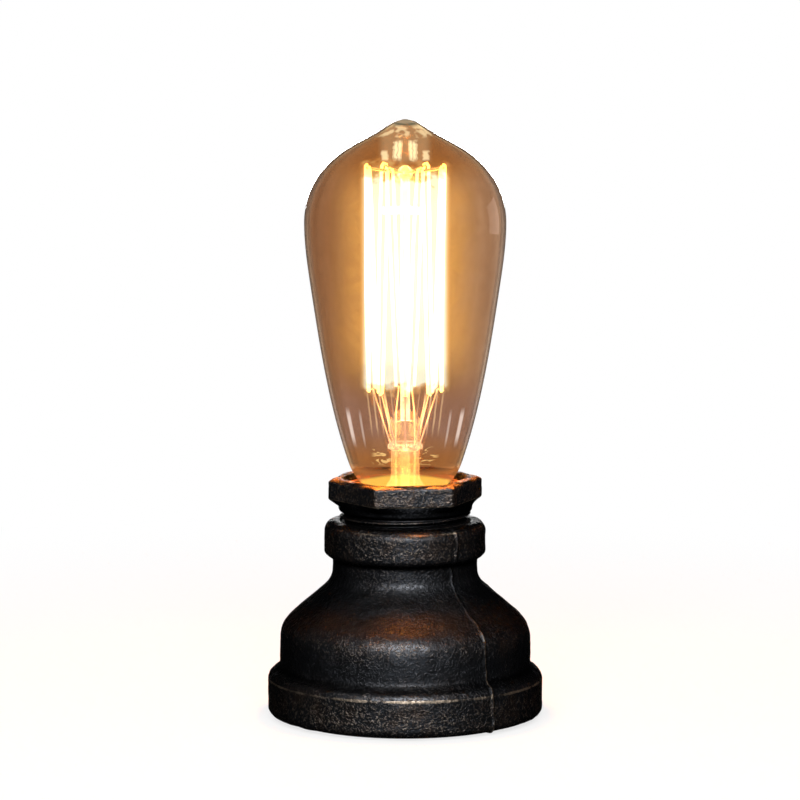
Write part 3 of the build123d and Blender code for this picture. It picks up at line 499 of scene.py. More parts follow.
def cast_skin_group():
    """Sand-cast skin: grains in low relief, pits between them and a mask of thin spots."""
    graph, given = group_of(
        "Cast Skin",
        {"Vector": ("V", None), "Grain Rate": ("F", 1700.0), "Cloud Rate": ("F", 90.0)},
        {"Height": "F", "Grains": "F", "Thin": "F"},
    )
    grain = graph.noise(given["Vector"], given["Grain Rate"], 2.0, 0.55, 0.3)
    coarse = graph.noise(given["Vector"], graph.times(given["Grain Rate"], 0.45), 2.0)
    cloud = graph.noise(given["Vector"], given["Cloud Rate"], 4.0, 0.6, 0.4)
    height = graph.plus(graph.times(graph.ramp(grain, 0.47, 0.66), 0.45), graph.times(coarse, 0.7))
    grains = graph.ramp(graph.plus(grain, graph.times(coarse, 0.5)), 0.76, 0.96)
    thin = graph.ramp(graph.plus(cloud, graph.times(grain, 0.5)), 0.66, 0.98)
    graph.add("NodeGroupOutput", {"Height": height, "Grains": grains, "Thin": thin})
    return graph.tree


def worn_edges_group():
    """Wear that follows an edge mark and breaks up into specks at its border."""
    graph, given = group_of(
        "Worn Edges",
        {
            "Vector": ("V", None), "Edge": ("F", 0.0),
            "Amount": ("F", 0.5), "Speck Rate": ("F", 900.0),
        },
        {"Mask": "F"},
    )
    specks = graph.noise(given["Vector"], given["Speck Rate"], 4.0, 0.7, 0.2)
    patches = graph.noise(given["Vector"], 0.006, 2.0, 0.5)
    level = graph.times(given["Edge"], graph.plus(patches, given["Amount"]))
    over = graph.minus(graph.plus(level, graph.times(specks, 0.7)), 0.92)
    graph.add("NodeGroupOutput", {"Mask": graph.ramp(over, 0.0, 0.3)})
    return graph.tree


def handled_group():
    """Slight clouding of a plain finish: uneven colour, uneven gloss and fine relief."""
    graph, given = group_of(
        "Handled",
        {
            "Vector": ("V", None), "Colour": ("C", (0.5, 0.5, 0.5)),
            "Stain": ("C", (0.3, 0.3, 0.3)), "Stain Share": ("F", 0.3), "Gloss": ("F", 0.3),
            "Patch Rate": ("F", 150.0), "Fine Rate": ("F", 2500.0),
        },
        {"Colour": "C", "Roughness": "F", "Height": "F"},
    )
    patch = graph.noise(given["Vector"], given["Patch Rate"], 4.0, 0.6, 0.5)
    fine = graph.noise(given["Vector"], given["Fine Rate"], 2.0, 0.6)
    mask = graph.times(graph.ramp(patch, 0.4, 0.75), given["Stain Share"])
    uneven = graph.times(graph.minus(fine, 0.5), 0.15)
    rough = graph.plus(given["Gloss"], graph.times(mask, 0.35), uneven)
    colour = graph.mixed(mask, given["Colour"], given["Stain"])
    graph.add("NodeGroupOutput", {"Colour": colour, "Roughness": rough, "Height": fine})
    return graph.tree


def material(name):
    """A new material and its Graph."""
    made = bpy.data.materials.new(name)
    made.use_nodes = True
    return made, Graph(made.node_tree)


# ---- Finishes ----
def black_iron(finish, name, cloud_rate, relief, painted_light_lift=1.0):
    """Oiled black casting with a bronze rub, bare metal along its edges and painted shade in its
    creases and recesses.
    """
    made, graph = material(name)
    place = graph.place()
    cast = graph.use(
        cast_skin_group, {"Vector": place, "Grain Rate": 1500.0, "Cloud Rate": cloud_rate}
    )
    edges = {"Vector": place, "Edge": graph.mark("edge"), "Amount": finish.wear}
    worn = graph.use(worn_edges_group, edges)["Mask"]
    rub = graph.mark("rub")
    thin = graph.maths("MULTIPLY", rub, cast["Thin"], clamp=True)
    tops = graph.maths("MULTIPLY", rub, cast["Grains"], clamp=True)
    # A lift above 1 makes a lighter copy of this iron: painted light.
    black, bronze = ([painted_light_lift * part for part in sheen] for sheen in (finish.iron, finish.bronze))
    dry = graph.mixed(tops, graph.mixed(thin, black, bronze), (0.16, 0.135, 0.115))
    # Painted shade: the colour is darkened where the vertex mark for creases, recesses and thread
    # roots is high.
    dry = graph.tinted(dry, graph.minus(1.0, graph.times(graph.mark("painted_shade"), 0.75)))
    surface = graph.surface(
        base_color=graph.mixed(worn, dry, finish.bright),
        metallic=1.0,
        roughness=graph.between(worn, graph.between(cast["Grains"], 0.36, 0.28), 0.4),
        specular_tint=(0.08, 0.08, 0.08),
        normal=graph.bump(cast["Height"], relief),
    )
    graph.show(surface)
    return made


def plain(name, colour, stain, gloss, metallic=0.0, stain_share=0.3, patch=0.006, fine=0.0004,
          relief=0.00002, **more):
    """A finish that is one colour with slight clouding and fine relief."""
    made, graph = material(name)
    colours = {"Colour": colour, "Stain": stain, "Stain Share": stain_share, "Gloss": gloss}
    rates = {"Patch Rate": 1 / patch, "Fine Rate": 1 / fine}
    look = graph.use(handled_group, {"Vector": graph.place(), **colours, **rates})
    surface = graph.surface(
        base_color=look["Colour"],
        roughness=look["Roughness"],
        metallic=metallic,
        normal=graph.bump(look["Height"], relief),
        **more,
    )
    graph.show(surface)
    return made


def glazed(finish):
    """White glaze, darkened to near black round the mouth of the holder: painted shade in the
    bushing's well.
    """
    made, graph = material("porcelain")
    place = graph.place()
    glaze = {"Colour": finish.porcelain, "Stain": (0.6, 0.54, 0.45), "Gloss": 0.18}
    look = graph.use(handled_group, {"Vector": place, **glaze})
    uneven = graph.times(graph.noise(place, 0.002), 0.002)
    # Painted shade: the holder's top is darkened above this height.
    painted_well_shade = graph.ramp(graph.plus(graph.height_of(place), uneven), 0.0735, 0.0755)
    surface = graph.surface(
        base_color=graph.mixed(painted_well_shade, look["Colour"], (0.07, 0.03, 0.015)),
        roughness=graph.between(painted_well_shade, look["Roughness"], 0.6),
        normal=graph.bump(look["Height"], 0.00002),
    )
    graph.show(surface)
    return made


def lets_lamps_through(graph, shader, colour):
    """Glass whose shadow is a tinted, clear one."""
    clear = graph.add("BsdfTransparent", {"Color": colour}).outputs[0]
    return graph.either(graph.ray("Is Shadow Ray"), shader, clear)


def off_axis(graph, place):
    """Distance in metres from the axis to the line of sight through a round wall.

    Where that line passes R sin(a) from the axis, a wall of radius R shows the facing
    1 - (c cos(a) + t), where c and t are the shares of its normal that are level and upright,
    as seen from the usual place. The second value is sin(a), and the third falls from 1 to 0
    where cos(a) comes out well above 1, which means that the wall is seen from high up.
    """
    radius = graph.length_of(graph.stretched(place, (1, 1, 0)))
    shown = graph.minus(graph.minus(1.0, graph.facing()), graph.mark("tilt"))
    cosine = graph.maths("DIVIDE", shown, graph.mark("level"))
    capped = graph.maths("MINIMUM", graph.maths("MAXIMUM", cosine, 0.0), 1.0)
    sine = graph.maths("SQRT", graph.minus(1.0, graph.times(capped, capped)))
    return graph.times(radius, sine), sine, graph.ramp(cosine, 1.3, 1.1)


def glass_tint(graph, finish, place, mottle, off, sine):
    """Colour of the amber glass, with painted light and shade: paler at its right as painted light,
    browner low down, painted shade in bands beside its outline, a painted glow near the top of the
    cage, and a painted dark edge along its rim and tip.
    """
    times, ramp, inside = graph.times, graph.ramp, graph.inside
    across, _, height = graph.add("SeparateXYZ", {0: place}).outputs
    # Painted light: the right side of the glass is made paler.
    right = ramp(across, 0.006, 0.03)
    left = graph.minus(1.0, right)
    streaks = graph.noise(graph.stretched(place, (1, 1, 0.12)), 0.005, 3.0)
    tint = finish.amber
    for share, colour in (
        (times(right, 0.85), (0.7, 0.52, 0.38)),
        (ramp(height, 0.114, 0.098), (0.58, 0.41, 0.33)),
        (ramp(height, 0.09, 0.085), (0.62, 0.37, 0.18)),
        (ramp(mottle, 0.35, 0.7, 0.0, 0.28), (0.44, 0.24, 0.12)),
        # Painted glow near the top of the cage, close to the axis.
        (times(ramp(height, 0.17, 0.178), ramp(off, 0.02, 0.01)), (0.6, 0.34, 0.14)),
        (ramp(streaks, 0.45, 0.7, 0.0, 0.3), (0.45, 0.26, 0.13)),
        # Painted shade in bands beside the outline, on the left and on the right.
        (times(inside(sine, 0.86, 0.9, 0.925, 0.95), times(left, 0.85)), (0.42, 0.23, 0.11)),
        (times(inside(sine, 0.78, 0.825, 0.84, 0.89), times(right, 0.65)), (0.52, 0.33, 0.2)),
        # Painted dark outline at the very top of the tip.
        (ramp(height, 0.1897, 0.1905), (0.28, 0.19, 0.12)),
    ):
        tint = graph.mixed(share, tint, colour)
    # Painted dark edge along the rim, where the glass is seen edge on, darker up high.
    rim = graph.mixed(ramp(height, 0.14, 0.168), (0.27, 0.15, 0.09), (0.13, 0.06, 0.03))
    rim_start = ramp(height, 0.184, 0.189, 0.965, 0.88)
    return graph.mixed(ramp(sine, rim_start, graph.plus(rim_start, 0.012)), tint, rim)


def cage_light(graph, place, mottle, off, low_view, outside):
    """Painted light, as emission on the glass: the halo round the cage, its white core, a glow low
    down and the pool at the bulb's base.
    """
    times, plus, ramp, inside = graph.times, graph.plus, graph.ramp, graph.inside
    height = graph.height_of(place)
    past = graph.maths("DIVIDE", graph.maths("MAXIMUM", graph.minus(off, 0.0134), 0.0), 0.007)
    halo = times(
        graph.maths("EXPONENT", times(past, past, -1.0)),
        inside(height, 0.102, 0.126, 0.164, 0.181),
        ramp(mottle, 0.3, 0.75, 0.8, 1.2),
    )
    ragged = graph.minus(graph.noise(place, 0.0035, 2.0), 0.5)
    core = times(
        ramp(off, 0.0148, 0.0122),
        inside(plus(height, times(ragged, 0.01)), 0.1065, 0.111, 0.1735, 0.177),
        low_view,
        ramp(height, 0.163, 0.171, 1.0, 0.95),
    )
    white = graph.mixed(times(core, core), (0.6, 0.36, 0.1), (0.62, 0.76, 0.6))
    light = graph.mixed(core, graph.tinted((0.27, 0.147, 0.026), halo), white)
    painted_base_glow = times(ramp(height, 0.083, 0.0805), outside)
    light = graph.lit(light, (0.3, 0.11, 0.03), painted_base_glow)
    dip = times(graph.maths("POWER", times(off, 1 / 0.0142), 2.0), 0.0031)
    pool = times(ramp(plus(height, dip), 0.081, 0.0798), ramp(off, 0.0152, 0.0132), outside)
    return graph.mixed(pool, light, (0.75, 0.5, 0.08))


def painted_reflections(graph, place, off, sine, low_view, outside):
    """Painted reflections and glints: small lights under the tip, at the stem, below the cage and
    along the neck.
    """
    times, plus, ramp, inside = graph.times, graph.plus, graph.ramp, graph.inside
    height = graph.height_of(place)
    wiggle = times(graph.minus(graph.noise(place, 0.002, 2.0), 0.5), 0.0016)
    bent = plus(off, wiggle)
    bars = times(
        ramp(graph.maths("SINE", times(bent, 5200.0)), -1.0, -0.2, 0.45, 1.0),
        inside(bent, 0.0004, 0.0008, 0.0034, 0.0039),
        inside(plus(height, times(wiggle, 1.5)), 0.1797, 0.181, 0.1845, 0.1858),
    )
    sides = times(
        inside(bent, 0.005, 0.0058, 0.007, 0.0078),
        inside(height, 0.1797, 0.1805, 0.1822, 0.183),
    )
    dome = times(
        ramp(graph.noise(place, 0.0026, 1.0), 0.46, 0.6),
        inside(height, 0.1858, 0.187, 0.189, 0.19),
    )
    near_tip = times(ramp(off, 0.009, 0.006), ramp(height, 0.178, 0.181, 0.0, 0.16))
    tip = plus(bars, times(sides, 0.7), plus(times(dome, 0.5), near_tip))
    tip = times(times(outside, low_view), tip, ramp(sine, 0.95, 0.85))
    flicks = graph.noise(graph.stretched(place, (1, 1, 2.4)), 0.0045, 2.0, 0.5, 1.0)
    at_stem = times(
        inside(height, 0.083, 0.085, 0.0885, 0.09),
        inside(off, 0.004, 0.0055, 0.0085, 0.0112),
    )
    leaning = plus(off, times(wiggle, 0.2), times(graph.minus(0.105, height), 0.12))
    painted_glint_lines = times(
        ramp(graph.maths("SINE", times(leaning, 3300.0)), 0.35, 0.9),
        inside(leaning, 0.0038, 0.005, 0.0115, 0.0128),
        inside(height, 0.092, 0.098, 0.105, 0.11),
        outside,
    )
    narrow = times(inside(sine, 0.6, 0.615, 0.63, 0.645), 0.5)
    gleam = times(
        plus(inside(sine, 0.75, 0.77, 0.8, 0.82), narrow),
        inside(height, 0.088, 0.093, 0.098, 0.102),
        outside,
    )
    return (
        ((0.8, 0.72, 0.42), tip),
        ((0.58, 0.42, 0.16), times(ramp(flicks, 0.53, 0.6), at_stem, outside)),
        ((0.36, 0.24, 0.12), painted_glint_lines),
        ((0.5, 0.46, 0.42), gleam),
    )


def amber_glass(finish):
    """Amber envelope with painted light: emission paints the glow of the cage behind it, its pool
    of light below and its tip above.
    """
    made, graph = material("amber_glass")
    place = graph.place()
    off, sine, low_view = off_axis(graph, place)
    outside = graph.mark("outside")
    mottle = graph.noise(place, 0.009, 5.0, 0.6, 1.2)
    light = cage_light(graph, place, mottle, off, low_view, outside)
    for colour, share in painted_reflections(graph, place, off, sine, low_view, outside):
        light = graph.lit(light, colour, share)
    outer_hits = graph.minus(1.0, graph.add("NewGeometry").outputs["Backfacing"])
    glass = graph.surface(
        base_color=glass_tint(graph, finish, place, mottle, off, sine),
        roughness=0.0,
        ior=1.47,
        transmission_weight=1.0,
        emission_color=graph.tinted(light, outer_hits),
        emission_strength=1.0,
    )
    in_holder = graph.ramp(graph.height_of(place), 0.0785, 0.0797)
    passed = graph.mixed(in_holder, (0.1, 0.03, 0.01), (0.9, 0.62, 0.38))
    graph.show(lets_lamps_through(graph, glass, passed))
    return made


def lit_glass(name, colour, light, rim, strength):
    """Clear glass of the stem, with the filament's light and brighter outlines painted on as
    emission.
    """
    made, graph = material(name)
    streak = graph.noise(graph.place(), 0.0025, 3.0, 0.5, 0.6)
    shine = graph.tinted(light, graph.ramp(streak, 0.35, 0.65, 0.45, 1.0))
    glass = graph.surface(
        base_color=colour,
        roughness=0.03,
        ior=1.5,
        transmission_weight=1.0,
        # Painted highlight: the outline colour is emitted where the glass is seen edge on.
        emission_color=graph.mixed(graph.ramp(graph.facing(), 0.45, 0.85), shine, rim),
        emission_strength=strength,
        normal=graph.bump(streak, 0.0002),
    )
    graph.show(lets_lamps_through(graph, glass, (0.95, 0.9, 0.8)))
    return made


def hot_wire(finish):
    """Glowing coil of the filament, hottest in the middle of its strands."""
    made, graph = material("glowing_filament")
    height = graph.height_of(graph.place())
    middle = graph.inside(height, 0.1, 0.125, 0.165, 0.18)
    mirrored = graph.maths("MINIMUM", graph.ray("Glossy Depth"), 1.0)
    surface = graph.surface(
        base_color=(0.2, 0.17, 0.14),
        metallic=1.0,
        roughness=0.5,
        emission_color=graph.mixed(middle, (1.0, 0.5, 0.14), finish.hot),
        emission_strength=graph.between(mirrored, 14.0, 2.5),
    )
    graph.show(surface)
    return made


# ---- Pieces ----
def near(outline, spot, width):
    """A bell curve of the distance from a spot of the outline."""
    return bell(np.linalg.norm(outline - spot, axis=1), 0, width)


def socket_outside():
    """The casting's outside from under its rim to its mouth, as (radius, height)."""
    corners = [
        (RECESS_RADIUS, RIM_BOTTOM), (COLLAR_RADIUS, RIM_BOTTOM), (COLLAR_RADIUS, COLLAR_TOP),
        (43.1, 14.6), (40.9, 15.7), (BODY_RADIUS, 17.6), (BODY_RADIUS, 29.9),
        (24.4, 43.5), (NECK_RADIUS, 46.0), (NECK_RADIUS, 51.2),
        (BAND_RADIUS, 52.9), (BAND_RADIUS, 61.1), (24.3, 62.9),
        (22.6, SOCKET_TOP), (MOUTH_RADIUS, SOCKET_TOP),
    ]
    reach = [0, 2.6, 0.6, 1.0, 0.9, 0.8, 4.6, 1.4, 1.4, 0.7, 1.2, 0.9, 0.9, 0.5, 0]
    return spaced(eased(corners, reach, 9), 156)


def socket_inside():
    """The casting's inside from its mouth to the recess under its rim."""
    corners = [
        (MOUTH_RADIUS, SOCKET_TOP), (19.6, 61.6), (19.5, 44.0), (19.3, 41.6),
        (35.9, 27.4), (36.1, 3.3), (RECESS_RADIUS, 3.3), (RECESS_RADIUS, RIM_BOTTOM),
    ]
    return spaced(eased(corners, [0, 0.4, 0.2, 1, 1.5, 0.3, 0.3, 0]), 30)


def cast_socket(sizes, look):
    """The reducing socket as it comes from the sand: lumps, grit, two seams and worn edges."""
    outside = socket_outside()
    outline = np.vstack([outside, socket_inside()[1:-1]])
    normal, height = normals_of(outline), outline[:, 1:]
    angles = angles_denser_near(SEAM_ANGLES, 400, math.radians(1.8), 6)
    ring = turned(outline, angles)
    open_air = np.zeros_like(height)
    open_air[4 : len(outside) - 2] = 1
    wander = 0.25 * np.sin(height * 0.45) + 0.12 * np.sin(height * 1.3 + 1)
    seam, step = np.zeros(ring.shape[:2]), np.zeros(ring.shape[:2])
    for centre, side in zip(SEAM_ANGLES, (1, -1)):
        off = angle_from(angles, centre) * outline[:, :1]
        seam += bell(off, wander, 0.55)
        step += side * np.tanh((off - wander) / 0.5) * bell(off, 0, 26)
    rise = (
        sizes.lump_height / MM * lumps(ring, 6.5, 3)
        + sizes.grit_height / MM * lumps(ring, 1.7, 5)
        + sizes.seam_height / MM * seam * (0.8 + 0.35 * lumps(ring, 5.0, 8))
        - sizes.mould_shift / MM * step / 2
    ) * open_air
    push(ring, angles, rise * normal[:, :1], rise * normal[:, 1:])
    creases = near(outline, (COLLAR_RADIUS, COLLAR_TOP), 0.6)
    creases += 0.85 * near(outline, (24.9, 62.0), 0.6)
    creases += 0.45 * near(outline, (BAND_RADIUS, 53.4), 0.5)
    creases += 0.35 * near(outline, (43.3, 1.7), 0.8)
    along_seam = seam * (0.1 + 0.65 * np.clip((46 - height) / 12, 0, 1))
    worn = np.clip(creases[:, None] * (0.88 + 0.2 * lumps(ring, 9, 14)) + along_seam, 0, 1)
    # Rub on the collar and band is wear; the band at the shoulder is a painted highlight, set where
    # the lamps' highlight falls.
    on_collar, on_band, painted_shoulder_highlight = bell(height, 7, 6), bell(height, 57, 5), bell(height, 28, 3.5)
    rub = 0.05 + 0.1 * lumps(ring, 22, 12) + 1.05 * on_collar + 0.9 * on_band + 0.4 * painted_shoulder_highlight
    # Painted shade in the creases above the collar and under the band.
    painted_shade = near(outline, (40.3, 16.3), 1.3) + near(outline, (23.3, 51.3), 1.1)
    marks = {
        "edge": worn * open_air,
        "rub": np.clip(rub, 0, 1.2) * open_air,
        "painted_shade": np.repeat(painted_shade, len(angles)),
    }
    shape = skin(ring, around_rows=True)
    made = piece("cast_socket", shape, "root", "reducing_socket", look, marks)
    drilled(made, (0, 30, INLET_HEIGHT), (0, 47, INLET_HEIGHT), INLET_RADIUS)


def hexagon(angles):
    """Radius of a hexagon with softened corners.

    It is a / (sum of cos^p of the angle to each flat)^(1/p), where a is half the width.
    """
    power = 90
    flats = HEX_TURN + math.radians(30) + np.arange(6) * TURN / 6
    facing = np.clip(np.cos(angles[:, None] - flats[None]), 0, 1)
    return HEX_FLATS / 2 / (facing**power).sum(1) ** (1 / power)


def threaded_bushing(look):
    """Hexagon bushing with its run-out collar and the last turns of its thread."""
    crest, root = 20.85, 19.4
    hidden_end, thread_end = SOCKET_TOP - 0.4, SOCKET_TOP + SHOWN_THREAD
    low = np.linspace(BUSHING_BOTTOM, hidden_end, 44, endpoint=False)
    thread_height = np.concatenate([low, np.linspace(hidden_end, thread_end, 40)])[:, None]
    corners = HEX_TURN + np.arange(6) * TURN / 6
    angles = angles_denser_near(corners, 420, math.radians(3.0), 3)
    phase = (thread_height / PIPE_PITCH - angles / TURN) % 1
    wave = np.clip(1.35 * (1 - np.abs(2 * phase - 1)) - 0.2, 0, 1)
    fade = np.clip((thread_end - thread_height) / 0.9, 0, 1)
    thread = root + (crest - root) * (1 - (1 - wave) * fade)
    head = [
        (21.0, thread_end), (21.35, thread_end + 0.5), (21.3, thread_end + 1.5),
        (24.6, HEX_TOP - 6.7), (HEX_CORNER, HEX_TOP - 6.3), (HEX_CORNER, HEX_TOP - 0.9),
        (23.6, HEX_TOP - 0.05), (22.0, HEX_TOP), (20.1, HEX_TOP),
        (HOLDER_SEAT, HEX_TOP - 0.6), (HOLDER_SEAT, HEX_TOP - 4.9), (17.6, HEX_TOP - 5.0),
        (17.5, BUSHING_BOTTOM + 0.3), (17.8, BUSHING_BOTTOM),
    ]
    reach = [0, 0.25, 0.4, 0.3, 0.3, 0.4, 0.5, 0.8, 0.3, 0.3, 0.1, 0.1, 0.1, 0]
    radius, height = np.split(spaced(eased(head, reach), 190), 2, axis=1)
    hexed = np.clip((height - thread_end - 1.5) / 2.2, 0, 1)
    flat = radius * (1 - hexed) + hexed * radius * hexagon(angles) / HEX_CORNER
    chamfer = 22.9 + 2.0 * np.clip(HEX_TOP - height, 0, 9)
    outer = (radius > 21.2) & (height > thread_end)
    head_radius = np.where(outer, -np.logaddexp(-flat * 6, -chamfer * 6) / 6, radius)
    heights = np.vstack([thread_height, height])
    ring = ring_of(np.vstack([thread, head_radius]), heights, angles)
    middle = (heights > thread_end + 0.2) & (np.vstack([0 * thread_height, radius]) > 20.5)
    rise = (0.07 * lumps(ring, 5, 21) + 0.035 * lumps(ring, 1.3, 22)) * middle
    push(ring, angles, rise, 0.6 * rise * (heights > HEX_TOP - 1.2))
    to_corner = np.abs(angle_from(angles[:, None], corners)).min(1)
    on_side = (heights > HEX_TOP - 6.6) & (heights < HEX_TOP - 0.2) & middle
    rims = (bell(heights, HEX_TOP - 6.5, 0.45) + bell(heights, HEX_TOP - 0.35, 0.5)) * middle
    on_top = (heights > HEX_TOP - 0.3) * middle * (0.1 + 0.2 * lumps(ring, 9, 33))
    worn = 0.8 * rims + 0.5 * bell(to_corner, 0, math.radians(2.2)) * on_side + on_top
    headed = middle & (heights > HEX_TOP - 6.5)
    rub = np.clip(1.05 + 0.35 * lumps(ring, 14, 31), 0, 1.5) * headed
    rub[: len(thread)] += 1.1 * (wave * fade) ** 2 * (thread_height > hidden_end)
    # Painted shade under the hexagon and in the roots of the thread.
    painted_shade = np.clip((HEX_TOP - 6.3 - heights) / 0.6, 0, 1) + 0 * rub
    painted_shade[: len(thread)] = 1 - wave * fade
    marks = {"edge": np.clip(worn, 0, 1), "rub": rub, "painted_shade": painted_shade}
    shape = skin(ring, around_rows=True)
    piece("threaded_bushing", shape, "root", "hex_bushing", look, marks)


def glass_outline(count):
    """The bulb's outside from its tip to the end of its neck, as (radius, height)."""
    widest = (BULB_RADIUS, BULB_WIDEST)
    crown = [(0, 144), (8.0, 140.4), (19.5, 133.8), (28.6, 124.2), widest]
    taper = [widest, (30.0, 91.0), (18.5, 36.0), (15.5, 29.8), (BULB_NECK, 24.6)]
    crown = spline(crown, (1, 0), (0, -1), count // 2)
    taper = spline(taper, (0, -1), (0, -1), count - count // 2)
    outline = np.vstack([crown[:-1], taper, [(BULB_NECK, 22.6)]]) + (0, BULB_BOTTOM)
    return np.vstack([outline, [(BULB_NECK, GLASS_END)]])


def envelope(sizes, look):
    """Blown glass of the bulb, thicker at its drawn tip."""
    outer = glass_outline(150)
    wall = sizes.glass_wall / MM
    tip = bell(outer[:, :1], 0, 3.2) * (outer[:, 1:] > GLASS_TOP - 10)
    normal = normals_of(outer[::-1])[::-1]
    inner = (outer - normal * (wall + 0.6 * tip))[1:]
    outer = outer[1:]
    angles = np.linspace(0, TURN, 160, endpoint=False)
    ring = np.concatenate([turned(inner, angles), turned(outer[::-1], angles)])
    view = np.arctan2(VIEW_HEIGHT - outer[:, 1] * MM, VIEW_DISTANCE)
    level = np.maximum(np.abs(normal[1:, 0]), 0.2) * np.cos(view)
    tilt = normal[1:, 1] * np.sin(view)
    level = np.repeat(np.concatenate([level, level[::-1]]), len(angles))
    tilt = np.repeat(np.concatenate([-tilt, tilt[::-1]]), len(angles))
    marks = {
        "level": np.append(level, [0.2, 0.2]),
        "tilt": np.append(tilt, [0, 0]),
        "outside": np.append(np.repeat([0, 1], len(level) // 2), [0, 1]),
    }
    shape = skin(ring, ends=(True, True))
    piece("glass_envelope", shape, "bulb", "bulb_glass", look, marks)


def filament_coil(sizes, look):
    """One long coil laced up and down between the hooks, its strands slightly bowed."""
    step = TURN / (STRANDS + 1)
    index = np.arange(STRANDS + 1)
    above = index % 2 == 1
    angle = math.pi / 2 + step / 2 + index * step
    radius = np.where(above, 12.8, 11.6)
    height = BULB_BOTTOM + np.where(above, 129.3, 57.6)
    thickness = sizes.filament_radius / MM
    loop = thickness + 0.3
    centre = np.stack([radius * np.cos(angle), radius * np.sin(angle), height], 1)
    along = np.stack([-np.sin(angle), np.cos(angle), 0 * angle], 1) * loop
    corners = np.stack([centre - along, centre + along], 1).reshape(-1, 3)[1:-1]
    path = spaced(eased(corners, loop * 0.95, 5), 980)
    shares = (path[:, 2] - height.min()) / (height.max() - height.min())
    flat = path * [1, 1, 0.02]
    sway = np.stack([lumps(flat, 5, 51), lumps(flat, 5, 52), 0 * shares], 1)
    path = path + 0.5 * np.sin(np.clip(shares, 0, 1) * math.pi)[:, None] * sway
    grid = tube(path, thickness, 8, path * [1, 1, 0])
    shape = skin(grid[:, ::-1], ends=(True, True))
    piece("filament_coil", shape, "bulb", "filament", look, {})


# ---- Operators ----
class StageOperator(bpy.types.Operator):
    """Floor, lights, world and camera"""

    bl_idname = "pipe_lamp.stage"
    bl_label = "Stage"

    def execute(self, context):
        scene = context.scene
        scene.view_settings.view_transform = "Standard"
        self.floor()
        self.world(scene)
        self.lights(context)
        self.camera(scene)
        return {"FINISHED"}

    def floor(self):
        """A round floor that fades from pale grey to white away from the lamp."""
        angles = np.linspace(0, TURN, 96, endpoint=False)
        radii = np.array([4000, 1200, 500, 200, 80, 30], float)
        outline = np.stack([radii, np.full(len(radii), -0.15)], 1)
        floor = linked("floor", *skin(turned(outline, angles), ends=(False, True)))
        made, graph = material("floor")
        away = graph.length_of(graph.place())
        paper = graph.surface(base_color=(0.86, 0.86, 0.86), roughness=0.9)
        through = graph.maths("MINIMUM", graph.ray("Transmission Depth"), 1.0)
        white = graph.add("Emission").outputs[0]
        dim = graph.add("Emission", {"Strength": 0.07}).outputs[0]
        fade = graph.times(graph.ramp(away, 0.05, 0.4, 0.75, 1.0), graph.ray("Is Camera Ray"))
        shown = graph.either(graph.maths("MAXIMUM", fade, through), paper, white)
        mirrored = graph.times(graph.ray("Is Glossy Ray"), graph.minus(1.0, through))
        graph.show(graph.either(mirrored, shown, dim))
        floor.data.materials.append(made)

    def world(self, scene):
        """White where it is seen, plain soft light elsewhere."""
        world = bpy.data.worlds.new("studio")
        world.use_nodes = True
        scene.world = world
        graph = Graph(world.node_tree)
        camera_ray, depth = graph.ray("Is Camera Ray"), graph.ray("Transmission Depth")
        seen = graph.maths("ADD", camera_ray, depth, clamp=True)
        strength = graph.between(seen, graph.between(graph.ray("Is Glossy Ray"), 0.3, 0.07), 1.0)
        sky = graph.add("Background", {"Color": (1, 1, 1), "Strength": strength})
        graph.add("OutputWorld", {"Surface": sky.outputs[0]})

    def lights(self, context):
        """Soft panels round the lamp, and the bulb's own light."""
        finish = context.scene.lamp_finish
        panels = [
            ("front_panel", (-0.05, -1.0, 0.62), (0.9, 0.2), 20.0, (1.0, 0.98, 0.96)),
            ("low_front", (0.0, -1.2, 0.05), (0.14, 0.08), 1.35, (0.78, 0.88, 1.0)),
            ("back_panel", (0.0, 1.2, 0.12), (0.3, 0.12), 3.0, (1.0, 1.0, 1.0)),
            ("right_panel", (1.02, 0.64, 0.15), (0.5, 0.5), 0.7, (1.0, 0.76, 0.68)),
        ]
        for name, place, size, power, colour in panels:
            light = bpy.data.lights.new(name, "AREA")
            light.shape, light.size, light.size_y = "RECTANGLE", *size
            light.energy, light.color = power, colour
            panel = bpy.data.objects.new(name, light)
            panel.location = place
            panel.visible_camera = panel.visible_transmission = False
            aim = Vector((0, 0, 0.08)) - panel.location
            panel.rotation_euler = aim.to_track_quat("-Z", "Y").to_euler()
            context.scene.collection.objects.link(panel)
        watts = finish.lamp_watts
        for name, height, power, size in (
            ("bulb_light", 0.14, watts, 0.012),
            ("base_light", 0.098, 0.15 * watts, 0.006),
        ):
            light = bpy.data.lights.new(name, "POINT")
            light.energy, light.color, light.shadow_soft_size = power, (1.0, 0.56, 0.15), size
            bulb = bpy.data.objects.new(name, light)
            bulb.location = (0, 0, height)
            bulb.visible_camera = bulb.visible_transmission = False
            context.scene.collection.objects.link(bulb)
            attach(bulb, "bulb")

    def camera(self, scene):
        """A long lens in front of the lamp, a little above it."""
        lens = bpy.data.cameras.new("camera")
        lens.sensor_width = 36.0
        lens.lens = 228.6
        lens.shift_x = -0.0065
        lens.clip_start, lens.clip_end = 0.05, 20
        camera = bpy.data.objects.new("camera", lens)
        camera.location = (0, -VIEW_DISTANCE, VIEW_HEIGHT)
        camera.rotation_euler = (math.radians(90 - 7.8), 0, 0)
        scene.collection.objects.link(camera)
        scene.camera = camera


class CastingOperator(bpy.types.Operator):
    """The reducing socket that is the lamp's foot"""

    bl_idname = "pipe_lamp.casting"
    bl_label = "Cast Socket"

    def execute(self, context):
        look = black_iron(context.scene.lamp_finish, "cast_iron", 110.0, 0.00021)
        cast_socket(context.scene.lamp_sizes, look)
        return {"FINISHED"}


